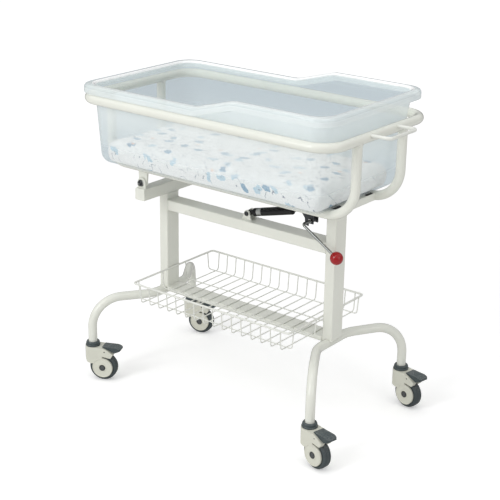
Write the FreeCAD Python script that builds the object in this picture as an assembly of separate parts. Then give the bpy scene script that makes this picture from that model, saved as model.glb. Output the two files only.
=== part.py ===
import FreeCAD, Part
import math
import os

# Hospital bassinet: a wheeled base, a tilting cradle on two hinge bolts with a locking gas spring,
# a clear tub that hangs in the cradle's ring, and a mattress in the tub.
# Millimetres. The head end is towards +X, the front is towards -Y, and Z = 0 is the floor.
# Everything is drawn about the middle of the base; save() then moves it by ORIGIN_X, so that the
# frame's origin is on the floor under the middle of the whole outline, push handle included.

Vector = FreeCAD.Vector
X_AXIS = Vector(1, 0, 0)
Y_AXIS = Vector(0, 1, 0)
Z_AXIS = Vector(0, 0, 1)

# ---- driving dimensions ----------------------------------------------------------------------
ORIGIN_X = 28.0            # middle of the whole outline, measured from the middle of the base

# base frame
POST_X = 286.0             # centre of each post
POST_A = 30.0              # post section along X
POST_B = 50.0              # post section along Y
SECTION_WALL = 2.0
SECTION_CORNER = 3.0
FOOT_POST_TOP = 532.5
HEAD_POST_TOP = 585.5
POST_SADDLE = 8.0          # how far above the leg's centre the post ends
RAIL_LOW = 484.0
RAIL_TOP = 514.5
STRETCHER_LOW = 239.0
STRETCHER_TOP = 253.0
STRETCHER_DEPTH = 56.0
BEAM_SIZE = 34.0           # square crossbeam on the foot post
BEAM_REACH = 119.0
BEAM_PLATE = 3.0

# legs
LEG_R = 12.5
HEAD_LEG_Z = 236.5         # centre of the level run
FOOT_LEG_Z = 242.5
LEG_END = 111.0            # where the tube ends in the caster's collar
LEG_BEND = 85.0
LEG_PLAN_Y = 70.0          # where the run leaves the post and turns to the corners
LEG_PLAN_BEND = 90.0
HEAD_STEM_X = 374.0
FOOT_STEM_X = -388.0
STEM_Y = 217.0

# cradle
TUBE_R = 12.5
RING_X = 404.0
RING_Y = 220.5
RING_Z = 823.5
RING_CORNER = 60.0
U_Y = 102.0
U_Z = 623.5
U_HEAD_BEND = 82.0
U_FOOT_BEND = 48.0
HANDLE_R = 4.5
HANDLE_X = 468.0
HANDLE_Y = 60.0
HANDLE_Z = 830.5
CROSS_X0 = 271.0
CROSS_X1 = 339.0
CROSS_Z0 = 613.5
CROSS_Z1 = 633.5
REST_PAD_Y0 = 58.0
REST_PAD_Y1 = 84.0
REST_PAD_LENGTH = 40.0
SEAT_GAP = 0.3             # between parts that rest on each other
CROSS_BAR_THICK = 6.0

# tilt hinge at the foot end
HINGE_X = -288.0
HINGE_Z = 581.5
BOLT_R = 4.0
LUG_R = 14.0
LUG_THICK = 6.0
BASE_LUG_Y = 106.0         # inner face of the base's lug
LUG_GAP = 0.5              # between the base's lug and the cradle's
CRADLE_LUG_THICK = 7.0
CRADLE_LUG_FOOT = 17.0     # half width where it meets the U-tube
WASHER_R = 10.0
WASHER_THICK = 1.6
BOLT_HEAD_FLATS = 14.0
BOLT_HEAD_THICK = 6.0
NUT_FLATS = 13.0
NUT_THICK = 6.5
NUT_Y = 90.8               # inner face of the nut
BOLT_TIP = 0.8             # how far the bolt shows past its nut
RUN_GAP = 0.05             # radial running clearance

# gas spring, in the plane y = 0
SPRING_X = 3.6
SPRING_Z = 531.5
SPRING_END_X = 200.0
SPRING_END_Z = 582.5
CYLINDER_R = 11.5
PISTON_R = 9.0
ROD_R = 4.0
SPRING_PIN_R = 3.0
SPRING_LUG_Y0 = 9.0
SPRING_LUG_Y1 = 13.0
SPRING_LUG_R = 9.5
SPRING_LUG_FOOT = 15.0
PIN_HEAD_R = 6.5
PIN_HEAD_THICK = 4.0
TANG_R = 8.0
TANG_HALF = 7.0
TANG_NECK_R = 6.5
CYLINDER_START = 15.0      # distances along the spring, from its lower pin
CYLINDER_END = 152.0
BORE_START = 40.0
GUIDE_START = 144.0
PISTON_START = 84.0
PISTON_END = 98.0
EYE_R = 11.0
EYE_HALF = 6.0
EYE_BORE_R = 7.5           # oversize about the bracket's pin

# release bracket and lever
BRACKET_X0 = 180.0
BRACKET_X1 = 221.0
BRACKET_HALF = 12.0
BRACKET_SHEET = 3.0
BRACKET_TAB = 8.5          # how far the front tab hangs below the shaft
BRACKET_PIN_HEAD_R = 5.5
BRACKET_PIN_HEAD = 2.5
SHAFT_X = 212.5
SHAFT_Z = 557.5
LEVER_R = 3.5
LEVER_Y = -47.0
KNOB_X = 321.0
KNOB_Z = 490.5
KNOB_R = 17.25
KNOB_SOCKET = 4.0          # from the ball's centre to the bottom of its hole
LEVER_BEND = 9.0
CAM_R = 6.5
CAM_HALF = 6.0

# basket
RIM_R = 2.8
WIRE_R = 1.6
WIRE_BEND = 9.0
BASKET_X = 268.0           # centre of the rim
BASKET_Y = 171.5
BASKET_Z = 308.5
BASKET_CORNER = 9.0
BASKET_LEAN = 4.0          # how far the floor's edge lies inside the rim
CROSS_WIRES = 16
LONG_WIRES = 4
END_WIRE = 242.0           # from the middle to the last cross wire

# tub
TUB_FLOOR = 636.5
TUB_LOW_RIM = 861.5
TUB_HIGH_RIM = 895.5
STEP_X0 = -5.0
STEP_X1 = 117.0
TUB_WALL = 3.0
TUB_X0 = -390.5            # outside of the wall, at the height of the low rim
TUB_X1 = 379.0
TUB_Y = 208.0
TUB_TAPER = 0.115          # the side and head walls lean outwards
TUB_FOOT_TAPER = 0.02      # the foot wall is nearly upright
TUB_CORNER = 50.0          # plan radius at the low rim, less further down
TUB_CORNER_TAPER = 0.062
TUB_FLOOR_RADIUS = 30.0
LIP_X0 = -412.0
LIP_X1 = 400.0
LIP_Y = 227.0
LIP_CORNER = 52.0
LIP_DROP = 24.0

# mattress
BED_X0 = -373.0
BED_X1 = 330.0
BED_Y = 163.0
BED_Z0 = 639.8
BED_Z1 = 691.5
BED_CORNER = 42.0
BED_LOW_EDGE = 28.0
BED_TOP_EDGE = 14.0

# caster, about its own stem: u runs from the stem towards the wheel, v across, z up
TRAIL = 32.0
WHEEL_R = 40.0
TYRE_HALF = 12.5
CORE_R = 29.0
WELL_R = 41.5
WELL_HALF = 13.4
CHEEK_HALF = 17.8          # half width at the discs
NECK_R = 22.0              # also the half width at the neck
DRAFT_LOW = 62.0           # the sides spread from here up to DRAFT_TOP
DRAFT_TOP = 96.0
DISC_R = 29.8
NECK_TOP = 102.0
COLLAR_R = 21.0
COLLAR_GAP = 0.3
COLLAR_TOP = 116.0
SPIGOT_R = 10.0
SPIGOT_TOP = 146.0
KINGPIN_R = 6.0
KINGPIN_HEAD_R = 7.5
KINGPIN_LOW = 75.0
AXLE_R = 4.0
CAP_R = 9.0
PEDAL_PIVOT_U = 40.0
PEDAL_PIVOT_Z = 91.0
PEDAL_PIN_R = 2.0
PEDAL_HALF = 16.8
PEDAL_REACH = 86.5
PEDAL_TRAVEL = 6.0         # degrees
PEDAL_ARM_HALF = 6.0
CASTERS = {                # stem X and Y, and how far the wheel's trail is turned from +X
    "front_foot": (FOOT_STEM_X, -STEM_Y, 25.0),
    "front_head": (HEAD_STEM_X, -STEM_Y, -12.0),
    "back_head": (HEAD_STEM_X, STEM_Y, -10.0),
    "back_foot": (FOOT_STEM_X, STEM_Y, 18.0),
}


# ---- helpers ---------------------------------------------------------------------------------
def save(name, shape):
    """Writes one node, moved from the middle of the base to the frame's origin."""
    moved = shape.copy()
    moved.translate(Vector(-ORIGIN_X, 0, 0))
    moved.exportStep(os.path.join("parts", name + ".step"))
    count = len(moved.Solids)
    print(f"{name:28s} solids {count:2d} valid {moved.isValid()} volume {moved.Volume / 1000:9.2f} cm3")


def group(shapes):
    """Separate solids in one node."""
    return Part.makeCompound([solid for shape in shapes for solid in shape.Solids])


def box(x0, x1, y0, y1, z0, z1):
    return Part.makeBox(x1 - x0, y1 - y0, z1 - z0, Vector(x0, y0, z0))


def cylinder(start, axis, radius, length):
    return Part.makeCylinder(radius, length, start, axis)


def mirrored_y(shape):
    return shape.mirror(Vector(0, 0, 0), Y_AXIS)


def rounded_rect(x0, x1, y0, y1, radius, z):
    """Closed outline at height z with round corners."""
    corners = [Vector(x0, y0, z), Vector(x1, y0, z), Vector(x1, y1, z), Vector(x0, y1, z)]
    return closed_wire(corners, radius)


def corner_points(before, corner, after, radius):
    """Where an arc of this radius leaves both runs at a corner, and its middle point."""
    back = (before - corner).normalize()
    on = (after - corner).normalize()
    half = back.getAngle(on) / 2
    tangent = radius / math.tan(half)
    middle = (back + on).normalize()
    centre = corner + middle * (radius / math.sin(half))
    return corner + back * tangent, centre - middle * radius, corner + on * tangent


def closed_wire(corners, radius):
    edges = []
    arcs = []
    count = len(corners)
    for i, corner in enumerate(corners):
        arcs.append(corner_points(corners[i - 1], corner, corners[(i + 1) % count], radius))
    for i, (start, middle, end) in enumerate(arcs):
        edges.append(Part.Arc(start, middle, end).toShape())
        edges.append(Part.LineSegment(end, arcs[(i + 1) % count][0]).toShape())
    return Part.Wire(edges)


def bent_wire(points, radii):
    """An open path of straight runs joined by tangent arcs, one radius per inner point."""
    edges = []
    start = points[0]
    for i, radius in enumerate(radii):
        first, middle, last = corner_points(points[i], points[i + 1], points[i + 2], radius)
        edges.append(Part.LineSegment(start, first).toShape())
        edges.append(Part.Arc(first, middle, last).toShape())
        start = last
    edges.append(Part.LineSegment(start, points[-1]).toShape())
    return Part.Wire(edges)


def round_bar(points, radii, bar_radius):
    """A round bar or tube along a bent path."""
    path = bent_wire(points, radii)
    section = Part.Face(Part.Wire(Part.makeCircle(bar_radius, points[0], points[1] - points[0])))
    return path.makePipe(section)


def wire_along(path, start, direction, wire_radius):
    """Thin wire with an eight-sided section, drawn along a path."""
    side = Part.makeCircle(wire_radius, start, direction)
    corners = [side.valueAt(side.LastParameter * (i + 0.5) / 8) for i in range(8)]
    section = Part.makePolygon(corners + corners[:1])
    return Part.Wire(path).makePipeShell([section], True, False)


def hollow_bar(length, along, a, b, centre):
    """Rectangular tube with rounded corners, a along the first free axis and b along the second."""
    outer = rounded_rect(-a / 2, a / 2, -b / 2, b / 2, SECTION_CORNER, 0)
    bar = Part.Face(outer).extrude(Vector(0, 0, length))
    inner_a = a / 2 - SECTION_WALL
    inner_b = b / 2 - SECTION_WALL
    bar = bar.cut(box(-inner_a, inner_a, -inner_b, inner_b, 0, length))
    if along == "x":
        bar.rotate(Vector(0, 0, 0), Y_AXIS, 90)
    if along == "y":
        bar.rotate(Vector(0, 0, 0), X_AXIS, -90)
    bar.translate(centre)
    return bar


def plate_xz(outline, y0, y1):
    """Extrudes an outline drawn in X and Z, at y = 0, from y0 to y1."""
    plate = Part.Face(outline).extrude(Vector(0, y1 - y0, 0))
    plate.translate(Vector(0, y0, 0))
    return plate


def polygon_xz(points):
    corners = [Vector(x, 0, z) for x, z in points]
    return Part.makePolygon(corners + corners[:1])


def lug_outline(centre_x, centre_z, radius, half_foot, foot_z):
    """Rounded eye about a pin whose sides run to a straight foot at foot_z."""
    up = 1 if centre_z > foot_z else -1
    left = Vector(centre_x - radius, 0, centre_z)
    crown = Vector(centre_x, 0, centre_z + up * radius)
    right = Vector(centre_x + radius, 0, centre_z)
    foot_right = Vector(centre_x + half_foot, 0, foot_z)
    foot_left = Vector(centre_x - half_foot, 0, foot_z)
    edges = [
        Part.Arc(left, crown, right).toShape(),
        Part.LineSegment(right, foot_right).toShape(),
        Part.LineSegment(foot_right, foot_left).toShape(),
        Part.LineSegment(foot_left, left).toShape(),
    ]
    return Part.Wire(edges)


def revolved(profile, centre, axis, turn_from):
    """Turns a closed list of (radius, height) points about an axis through centre."""
    corners = [centre + turn_from * r + axis * h for r, h in profile]
    outline = Part.Face(Part.makePolygon(corners + corners[:1]))
    return outline.revolve(centre, axis, 360)


# ---- base ------------------------------------------------------------------------------------
def leg(post_x, stem_x, level):
    """Bent tube under a post, bored at both lower ends for the caster spigots."""
    points = [
        Vector(stem_x, -STEM_Y, LEG_END),
        Vector(stem_x, -STEM_Y, level),
        Vector(post_x, -LEG_PLAN_Y, level),
        Vector(post_x, LEG_PLAN_Y, level),
        Vector(stem_x, STEM_Y, level),
        Vector(stem_x, STEM_Y, LEG_END),
    ]
    tube = round_bar(points, [LEG_BEND, LEG_PLAN_BEND, LEG_PLAN_BEND, LEG_BEND], LEG_R)
    for side in (-1, 1):
        mouth = Vector(stem_x, side * STEM_Y, LEG_END)
        tube = tube.cut(cylinder(mouth, Z_AXIS, SPIGOT_R, SPIGOT_TOP - LEG_END + 2))
    return tube


def post(x, leg_z, top):
    """Rectangular tube, coped over the leg."""
    bottom = leg_z + POST_SADDLE
    upright = hollow_bar(top - bottom, "z", POST_A, POST_B, Vector(x, 0, bottom))
    return upright.cut(cylinder(Vector(x, -POST_B, leg_z), Y_AXIS, LEG_R, 2 * POST_B))


def rail(low, top, depth):
    inner = POST_X - POST_A / 2
    start = Vector(-inner, 0, (low + top) / 2)
    return hollow_bar(2 * inner, "x", top - low, depth, start)


def foot_crossbeam():
    centre = Vector(HINGE_X, -BEAM_REACH + BEAM_PLATE, FOOT_POST_TOP + BEAM_SIZE / 2)
    return hollow_bar(2 * (BEAM_REACH - BEAM_PLATE), "y", BEAM_SIZE, BEAM_SIZE, centre)


def crossbeam_end_plates():
    """Welded plates that close the crossbeam's two ends."""
    half = BEAM_SIZE / 2
    outline = rounded_rect(-half, half, -half, half, SECTION_CORNER, 0)
    plate = Part.Face(outline).extrude(Vector(0, 0, BEAM_PLATE))
    plate.rotate(Vector(0, 0, 0), X_AXIS, -90)
    plate.translate(Vector(HINGE_X, BEAM_REACH - BEAM_PLATE, FOOT_POST_TOP + half))
    return group([plate, mirrored_y(plate)])


def base_hinge_lugs():
    beam_top = FOOT_POST_TOP + BEAM_SIZE
    outline = lug_outline(HINGE_X, HINGE_Z, LUG_R + 0.5, LUG_R + 0.5, beam_top)
    lug = plate_xz(outline, BASE_LUG_Y, BASE_LUG_Y + LUG_THICK)
    lug = lug.cut(cylinder(Vector(HINGE_X, 0, HINGE_Z), Y_AXIS, BOLT_R, 2 * BASE_LUG_Y))
    return group([lug, mirrored_y(lug)])


def hexagon(centre, across_flats, thick):
    """Six-sided nut or bolt head lying along Y."""
    radius = across_flats / math.sqrt(3)
    corners = []
    for i in range(6):
        turn = math.radians(60 * i + 30)
        corners.append(centre + Vector(radius * math.cos(turn), 0, radius * math.sin(turn)))
    return Part.Face(Part.makePolygon(corners + corners[:1])).extrude(Vector(0, thick, 0))


def hinge_bolts():
    """Each bolt: washer and head outside the base's lug, shank through both lugs, nut inside."""
    outer = BASE_LUG_Y + LUG_THICK
    washer_top = outer + WASHER_THICK
    tip = NUT_Y - BOLT_TIP
    bolt = cylinder(Vector(HINGE_X, tip, HINGE_Z), Y_AXIS, BOLT_R, washer_top - tip)
    bolt = bolt.fuse(cylinder(Vector(HINGE_X, outer, HINGE_Z), Y_AXIS, WASHER_R, WASHER_THICK))
    bolt = bolt.fuse(hexagon(Vector(HINGE_X, washer_top, HINGE_Z), BOLT_HEAD_FLATS, BOLT_HEAD_THICK))
    bolt = bolt.fuse(hexagon(Vector(HINGE_X, NUT_Y, HINGE_Z), NUT_FLATS, NUT_THICK))
    return group([bolt, mirrored_y(bolt)])


def head_rest_pad():
    """Rubber buffer pushed into the top of the head post; the cross member rests on it."""
    half_a = POST_A / 2
    half_b = POST_B / 2
    outline = rounded_rect(-half_a, half_a, -half_b, half_b, SECTION_CORNER, 0)
    pad = Part.Face(outline).extrude(Vector(0, 0, CROSS_Z0 - SEAT_GAP - HEAD_POST_TOP))
    plug_a = half_a - SECTION_WALL
    plug_b = half_b - SECTION_WALL
    pad = pad.fuse(box(-plug_a, plug_a, -plug_b, plug_b, -12, 0))
    pad.translate(Vector(POST_X, 0, HEAD_POST_TOP))
    return pad


def basket_rim():
    path = rounded_rect(-BASKET_X, BASKET_X, -BASKET_Y, BASKET_Y, BASKET_CORNER, BASKET_Z)
    first = path.Edges[0]
    start = first.valueAt(first.FirstParameter)
    direction = first.tangentAt(first.FirstParameter)
    return wire_along(path, start, direction, RIM_R)


def basket_wire(half, low_z):
    """One wire across: down from the rim, round a bend, along the floor and up again, in X and Z."""
    top_z = BASKET_Z - RIM_R + 0.2
    low_half = half - BASKET_LEAN
    corners = [
        Vector(-half, 0, top_z), Vector(-low_half, 0, low_z),
        Vector(low_half, 0, low_z), Vector(half, 0, top_z),
    ]
    path = bent_wire(corners, [WIRE_BEND, WIRE_BEND])
    return wire_along(path, corners[0], corners[1] - corners[0], WIRE_R)


def basket_cross_wires():
    """U-shaped wires from the front of the rim to the back, resting on the stretcher."""
    first = basket_wire(BASKET_Y, STRETCHER_TOP + WIRE_R)
    first.rotate(Vector(0, 0, 0), Z_AXIS, 90)
    return spread(first, X_AXIS, END_WIRE, CROSS_WIRES)


def basket_long_wires():
    """Wires along the basket, lying on the cross wires, with their ends turned up to the rim."""
    first = basket_wire(BASKET_X, STRETCHER_TOP + 3 * WIRE_R)
    reach = BASKET_Y - BASKET_LEAN - 2 * WIRE_BEND
    return spread(first, Y_AXIS, reach, LONG_WIRES)


def spread(shape, axis, reach, count):
    """Copies of a shape, evenly spaced from -reach to +reach along an axis."""
    copies = []
    for i in range(count):
        copied = shape.copy()
        copied.translate(axis * (-reach + 2 * reach * i / (count - 1)))
        copies.append(copied)
    return group(copies)


def spring_base_lugs():
    """Pair of lugs on the rail that hold the gas spring's lower pin."""
    outline = lug_outline(SPRING_X, SPRING_Z, SPRING_LUG_R, SPRING_LUG_FOOT, RAIL_TOP)
    lug = plate_xz(outline, SPRING_LUG_Y0, SPRING_LUG_Y1)
    lug = lug.cut(cylinder(Vector(SPRING_X, 0, SPRING_Z), Y_AXIS, SPRING_PIN_R, 2 * SPRING_LUG_Y1))
    return group([lug, mirrored_y(lug)])


def spring_pivot_pin():
    pin = cylinder(Vector(SPRING_X, -SPRING_LUG_Y1, SPRING_Z), Y_AXIS, SPRING_PIN_R, 2 * SPRING_LUG_Y1)
    for y in (-SPRING_LUG_Y1 - PIN_HEAD_THICK, SPRING_LUG_Y1):
        pin = pin.fuse(cylinder(Vector(SPRING_X, y, SPRING_Z), Y_AXIS, PIN_HEAD_R, PIN_HEAD_THICK))
    return pin


# ---- cradle ----------------------------------------------------------------------------------
def cradle_ring():
    path = rounded_rect(-RING_X, RING_X, -RING_Y, RING_Y, RING_CORNER, RING_Z)
    first = path.Edges[0]
    start = first.valueAt(first.FirstParameter)
    direction = first.tangentAt(first.FirstParameter)
    section = Part.Face(Part.Wire(Part.makeCircle(TUBE_R, start, direction)))
    return path.makePipe(section)


def u_tube():
    """Bent tube at the front: down from the ring, along under the tub and up again."""
    points = [
        Vector(-RING_X, -U_Y, RING_Z),
        Vector(-RING_X, -U_Y, U_Z),
        Vector(RING_X, -U_Y, U_Z),
        Vector(RING_X, -U_Y, RING_Z),
    ]
    tube = round_bar(points, [U_FOOT_BEND, U_HEAD_BEND], TUBE_R)
    for x in (-RING_X, RING_X):
        tube = tube.cut(cylinder(Vector(x, -U_Y - 2 * TUBE_R, RING_Z), Y_AXIS, TUBE_R, 4 * TUBE_R))
    return tube


def u_tube_rods():
    """The straight runs of both U-tubes, to cope what is welded between them."""
    front = cylinder(Vector(-RING_X, -U_Y, U_Z), X_AXIS, TUBE_R, 2 * RING_X)
    return front.fuse(mirrored_y(front))


def head_cross_member(front_tube):
    """Flat rectangular tube between the U-tubes; it rests on the head post's pad."""
    middle = Vector((CROSS_X0 + CROSS_X1) / 2, -U_Y, (CROSS_Z0 + CROSS_Z1) / 2)
    member = hollow_bar(2 * U_Y, "y", CROSS_X1 - CROSS_X0, CROSS_Z1 - CROSS_Z0, middle)
    return member.cut(front_tube).cut(mirrored_y(front_tube))


def tub_rest_pads():
    """Rubber strips on the head cross member, just under the tub's floor."""
    end = CROSS_X1 - SECTION_WALL
    top = TUB_FLOOR - SEAT_GAP
    pad = box(end - REST_PAD_LENGTH, end, REST_PAD_Y0, REST_PAD_Y1, CROSS_Z1, top)
    return group([pad, mirrored_y(pad)])


def spring_cross_bar():
    """Flat bar between the U-tubes that carries the release bracket."""
    bar = box(BRACKET_X0 - 4, BRACKET_X1 + 5, -U_Y, U_Y, CROSS_Z0, CROSS_Z0 + CROSS_BAR_THICK)
    return bar.cut(u_tube_rods())


def cradle_hinge_lugs():
    """Plates under the U-tubes that turn on the hinge bolts."""
    outline = lug_outline(HINGE_X, HINGE_Z, LUG_R, CRADLE_LUG_FOOT, U_Z)
    outer = BASE_LUG_Y - LUG_GAP
    lug = plate_xz(outline, outer - CRADLE_LUG_THICK, outer)
    lug = lug.cut(u_tube_rods())
    lug = lug.cut(cylinder(Vector(HINGE_X, 0, HINGE_Z), Y_AXIS, BOLT_R + RUN_GAP, 2 * BASE_LUG_Y))
    return group([lug, mirrored_y(lug)])


def handle_rod():
    """Thin push handle bent from rod and welded to the ring at the head end."""
    points = [
        Vector(RING_X, -HANDLE_Y, HANDLE_Z),
        Vector(HANDLE_X, -HANDLE_Y, HANDLE_Z),
        Vector(HANDLE_X, HANDLE_Y, HANDLE_Z),
        Vector(RING_X, HANDLE_Y, HANDLE_Z),
    ]
    rod = round_bar(points, [12.0, 12.0], HANDLE_R)
    return rod.cut(cylinder(Vector(RING_X, -RING_Y, RING_Z), Y_AXIS, TUBE_R, 2 * RING_Y))


def release_bracket():
    """Folded bracket under the cross bar: two cheeks with hanging tabs and a top plate."""
    tab = SHAFT_Z - BRACKET_TAB
    outline = [
        (BRACKET_X0, CROSS_Z0), (BRACKET_X1, CROSS_Z0), (BRACKET_X1, tab), (206, tab),
        (206, tab - 7.5), (196, tab - 5.5), (194, SHAFT_Z + 4), (BRACKET_X0 + 3, SPRING_END_Z - 7),
    ]
    cheeks = plate_xz(polygon_xz(outline), -BRACKET_HALF, BRACKET_HALF)
    inner = BRACKET_HALF - BRACKET_SHEET
    top_plate = CROSS_Z0 - BRACKET_SHEET
    bracket = cheeks.cut(box(BRACKET_X0, BRACKET_X1, -inner, inner, tab - 10, top_plate))
    reach = BRACKET_HALF + 2
    shaft = Vector(SHAFT_X, -reach, SHAFT_Z)
    pin = Vector(SPRING_END_X, -reach, SPRING_END_Z)
    bracket = bracket.cut(cylinder(shaft, Y_AXIS, LEVER_R + RUN_GAP, 2 * reach))
    return bracket.cut(cylinder(pin, Y_AXIS, SPRING_PIN_R, 2 * reach))


def spring_upper_pin():
    """Cross pin of the bracket, which runs through the oversize eye of the gas spring's rod."""
    head = BRACKET_PIN_HEAD
    start = Vector(SPRING_END_X, -BRACKET_HALF, SPRING_END_Z)
    pin = cylinder(start, Y_AXIS, SPRING_PIN_R, 2 * BRACKET_HALF)
    for y in (-BRACKET_HALF - head, BRACKET_HALF):
        end = Vector(SPRING_END_X, y, SPRING_END_Z)
        pin = pin.fuse(cylinder(end, Y_AXIS, BRACKET_PIN_HEAD_R, head))
    return pin


# ---- gas spring ------------------------------------------------------------------------------
def spring_axis():
    reach = Vector(SPRING_END_X - SPRING_X, 0, SPRING_END_Z - SPRING_Z)
    return reach.Length, reach.normalize()


def gas_cylinder():
    """Tang on the lower pin, then a hollow cylinder with a guide for the rod."""
    lower = Vector(SPRING_X, 0, SPRING_Z)
    axis = spring_axis()[1]
    side = axis.cross(Y_AXIS)
    chamfer = 4
    rod_bore = ROD_R + RUN_GAP
    bore = PISTON_R + RUN_GAP
    profile = [
        (0, CYLINDER_START), (CYLINDER_R - chamfer, CYLINDER_START),
        (CYLINDER_R, CYLINDER_START + chamfer), (CYLINDER_R, CYLINDER_END - chamfer),
        (CYLINDER_R - chamfer, CYLINDER_END), (rod_bore, CYLINDER_END), (rod_bore, GUIDE_START),
        (bore, GUIDE_START), (bore, BORE_START), (0, BORE_START),
    ]
    tube = revolved(profile, lower, axis, side)
    tang = cylinder(lower - Y_AXIS * TANG_HALF, Y_AXIS, TANG_R, 2 * TANG_HALF)
    neck = cylinder(lower, axis, TANG_NECK_R, CYLINDER_START + 1)
    eye = tang.fuse(neck)
    pin_bore = SPRING_PIN_R + RUN_GAP
    eye = eye.cut(cylinder(lower - Y_AXIS * CYLINDER_R, Y_AXIS, pin_bore, 2 * CYLINDER_R))
    return tube.fuse(eye).removeSplitter()


def gas_rod():
    """Piston, rod and end eye; the eye is oversize about the bracket's pin."""
    lower = Vector(SPRING_X, 0, SPRING_Z)
    length, axis = spring_axis()
    side = axis.cross(Y_AXIS)
    rod_end = length - EYE_R + 1
    profile = [
        (0, PISTON_START), (PISTON_R, PISTON_START), (PISTON_R, PISTON_END),
        (ROD_R, PISTON_END), (ROD_R, rod_end), (0, rod_end),
    ]
    rod = revolved(profile, lower, axis, side)
    start = Vector(SPRING_END_X, -EYE_HALF, SPRING_END_Z)
    eye = cylinder(start, Y_AXIS, EYE_R, 2 * EYE_HALF)
    return rod.fuse(eye).cut(cylinder(start, Y_AXIS, EYE_BORE_R, 2 * EYE_HALF))


# ---- release lever ---------------------------------------------------------------------------
def lever_rod():
    """Shaft through the bracket, bent down to the knob."""
    start = Vector(SHAFT_X, BRACKET_HALF + 3, SHAFT_Z)
    elbow = Vector(SHAFT_X, LEVER_Y, SHAFT_Z)
    knob = Vector(KNOB_X, LEVER_Y, KNOB_Z)
    end = knob - (knob - elbow).normalize() * KNOB_SOCKET
    return round_bar([start, elbow, end], [LEVER_BEND], LEVER_R)


def lever_knob():
    """Ball pressed on the lever's end."""
    knob = Vector(KNOB_X, LEVER_Y, KNOB_Z)
    elbow = Vector(SHAFT_X, LEVER_Y, SHAFT_Z)
    ball = Part.makeSphere(KNOB_R, knob, (knob - elbow).normalize())
    back = (elbow - knob).normalize()
    return ball.cut(cylinder(knob + back * KNOB_SOCKET, back, LEVER_R, KNOB_R))


def release_cam():
    """Finger on the shaft, between the bracket's cheeks, that presses the rod's release pin."""
    start = Vector(SHAFT_X, -CAM_HALF, SHAFT_Z)
    hub = cylinder(start, Y_AXIS, CAM_R, 2 * CAM_HALF)
    tip = 2.5
    foot = 6
    finger = [
        (SHAFT_X - foot, SHAFT_Z + 2), (SHAFT_X + foot, SHAFT_Z + 2),
        (SHAFT_X + tip, SHAFT_Z + CAM_R + 3), (SHAFT_X - tip, SHAFT_Z + CAM_R + 3),
    ]
    cam = hub.fuse(plate_xz(polygon_xz(finger), 1 - CAM_HALF, CAM_HALF - 1))
    return cam.cut(cylinder(start, Y_AXIS, LEVER_R, 2 * CAM_HALF))


# ---- tub and mattress ------------------------------------------------------------------------
def tub_outline(z, inset):
    """Plan outline of the tub's outside at a height, moved inwards by inset."""
    below = TUB_LOW_RIM - z
    side = below * TUB_TAPER + inset
    foot = below * TUB_FOOT_TAPER + inset
    corner = TUB_CORNER - below * TUB_CORNER_TAPER - inset
    return rounded_rect(TUB_X0 + foot, TUB_X1 - side, -TUB_Y + side, TUB_Y - side, corner, z)


def tub_solid(inset, floor_z, floor_radius):
    """Tapered round-cornered block, higher than the rim, with a round lower edge."""
    top_z = TUB_HIGH_RIM + 20
    block = Part.makeLoft([tub_outline(floor_z, inset), tub_outline(top_z, inset)], True, True)
    floor_edges = [e for e in block.Edges if abs(e.BoundBox.ZMax - floor_z) < 0.01]
    return block.makeFillet(floor_radius, floor_edges)


def below_rim(drop, low_z):
    """Everything under the stepped rim line, lowered by drop, down to low_z."""
    far = 500
    line = [(-far, TUB_LOW_RIM), (STEP_X0, TUB_LOW_RIM), (STEP_X1, TUB_HIGH_RIM), (far, TUB_HIGH_RIM)]
    top = [(x, z - drop) for x, z in line]
    return plate_xz(polygon_xz(top + [(far, low_z), (-far, low_z)]), -far, far)


def lip_prism(inset):
    """Upright block with the plan outline of the rim's flange."""
    outline = rounded_rect(
        LIP_X0 + inset, LIP_X1 - inset, -LIP_Y + inset, LIP_Y - inset, LIP_CORNER - inset, TUB_FLOOR
    )
    return Part.Face(outline).extrude(Vector(0, 0, 2 * (TUB_HIGH_RIM - TUB_FLOOR)))


def tub():
    """Floor and tapered walls of the clear moulding, open at the top."""
    outside = tub_solid(0, TUB_FLOOR, TUB_FLOOR_RADIUS)
    inside = tub_solid(TUB_WALL, TUB_FLOOR + TUB_WALL, TUB_FLOOR_RADIUS - TUB_WALL)
    return outside.common(below_rim(0, 0)).cut(inside)


def tub_flange():
    """The moulding's rim: a flange with a down-turned skirt and a sloped step, round the walls."""
    band = lip_prism(0).common(below_rim(0, 0)).cut(below_rim(LIP_DROP, 0))
    hollow = lip_prism(TUB_WALL).common(below_rim(TUB_WALL, 0))
    return band.cut(hollow).cut(tub_solid(0, TUB_FLOOR, TUB_FLOOR_RADIUS))


def mattress():
    pad = Part.Face(rounded_rect(BED_X0, BED_X1, -BED_Y, BED_Y, BED_CORNER, BED_Z0))
    pad = pad.extrude(Vector(0, 0, BED_Z1 - BED_Z0))
    low = [e for e in pad.Edges if abs(e.BoundBox.ZMax - BED_Z0) < 0.01]
    pad = pad.makeFillet(BED_LOW_EDGE, low)
    high = [e for e in pad.Edges if abs(e.BoundBox.ZMin - BED_Z1) < 0.01]
    return pad.makeFillet(BED_TOP_EDGE, high)


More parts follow.
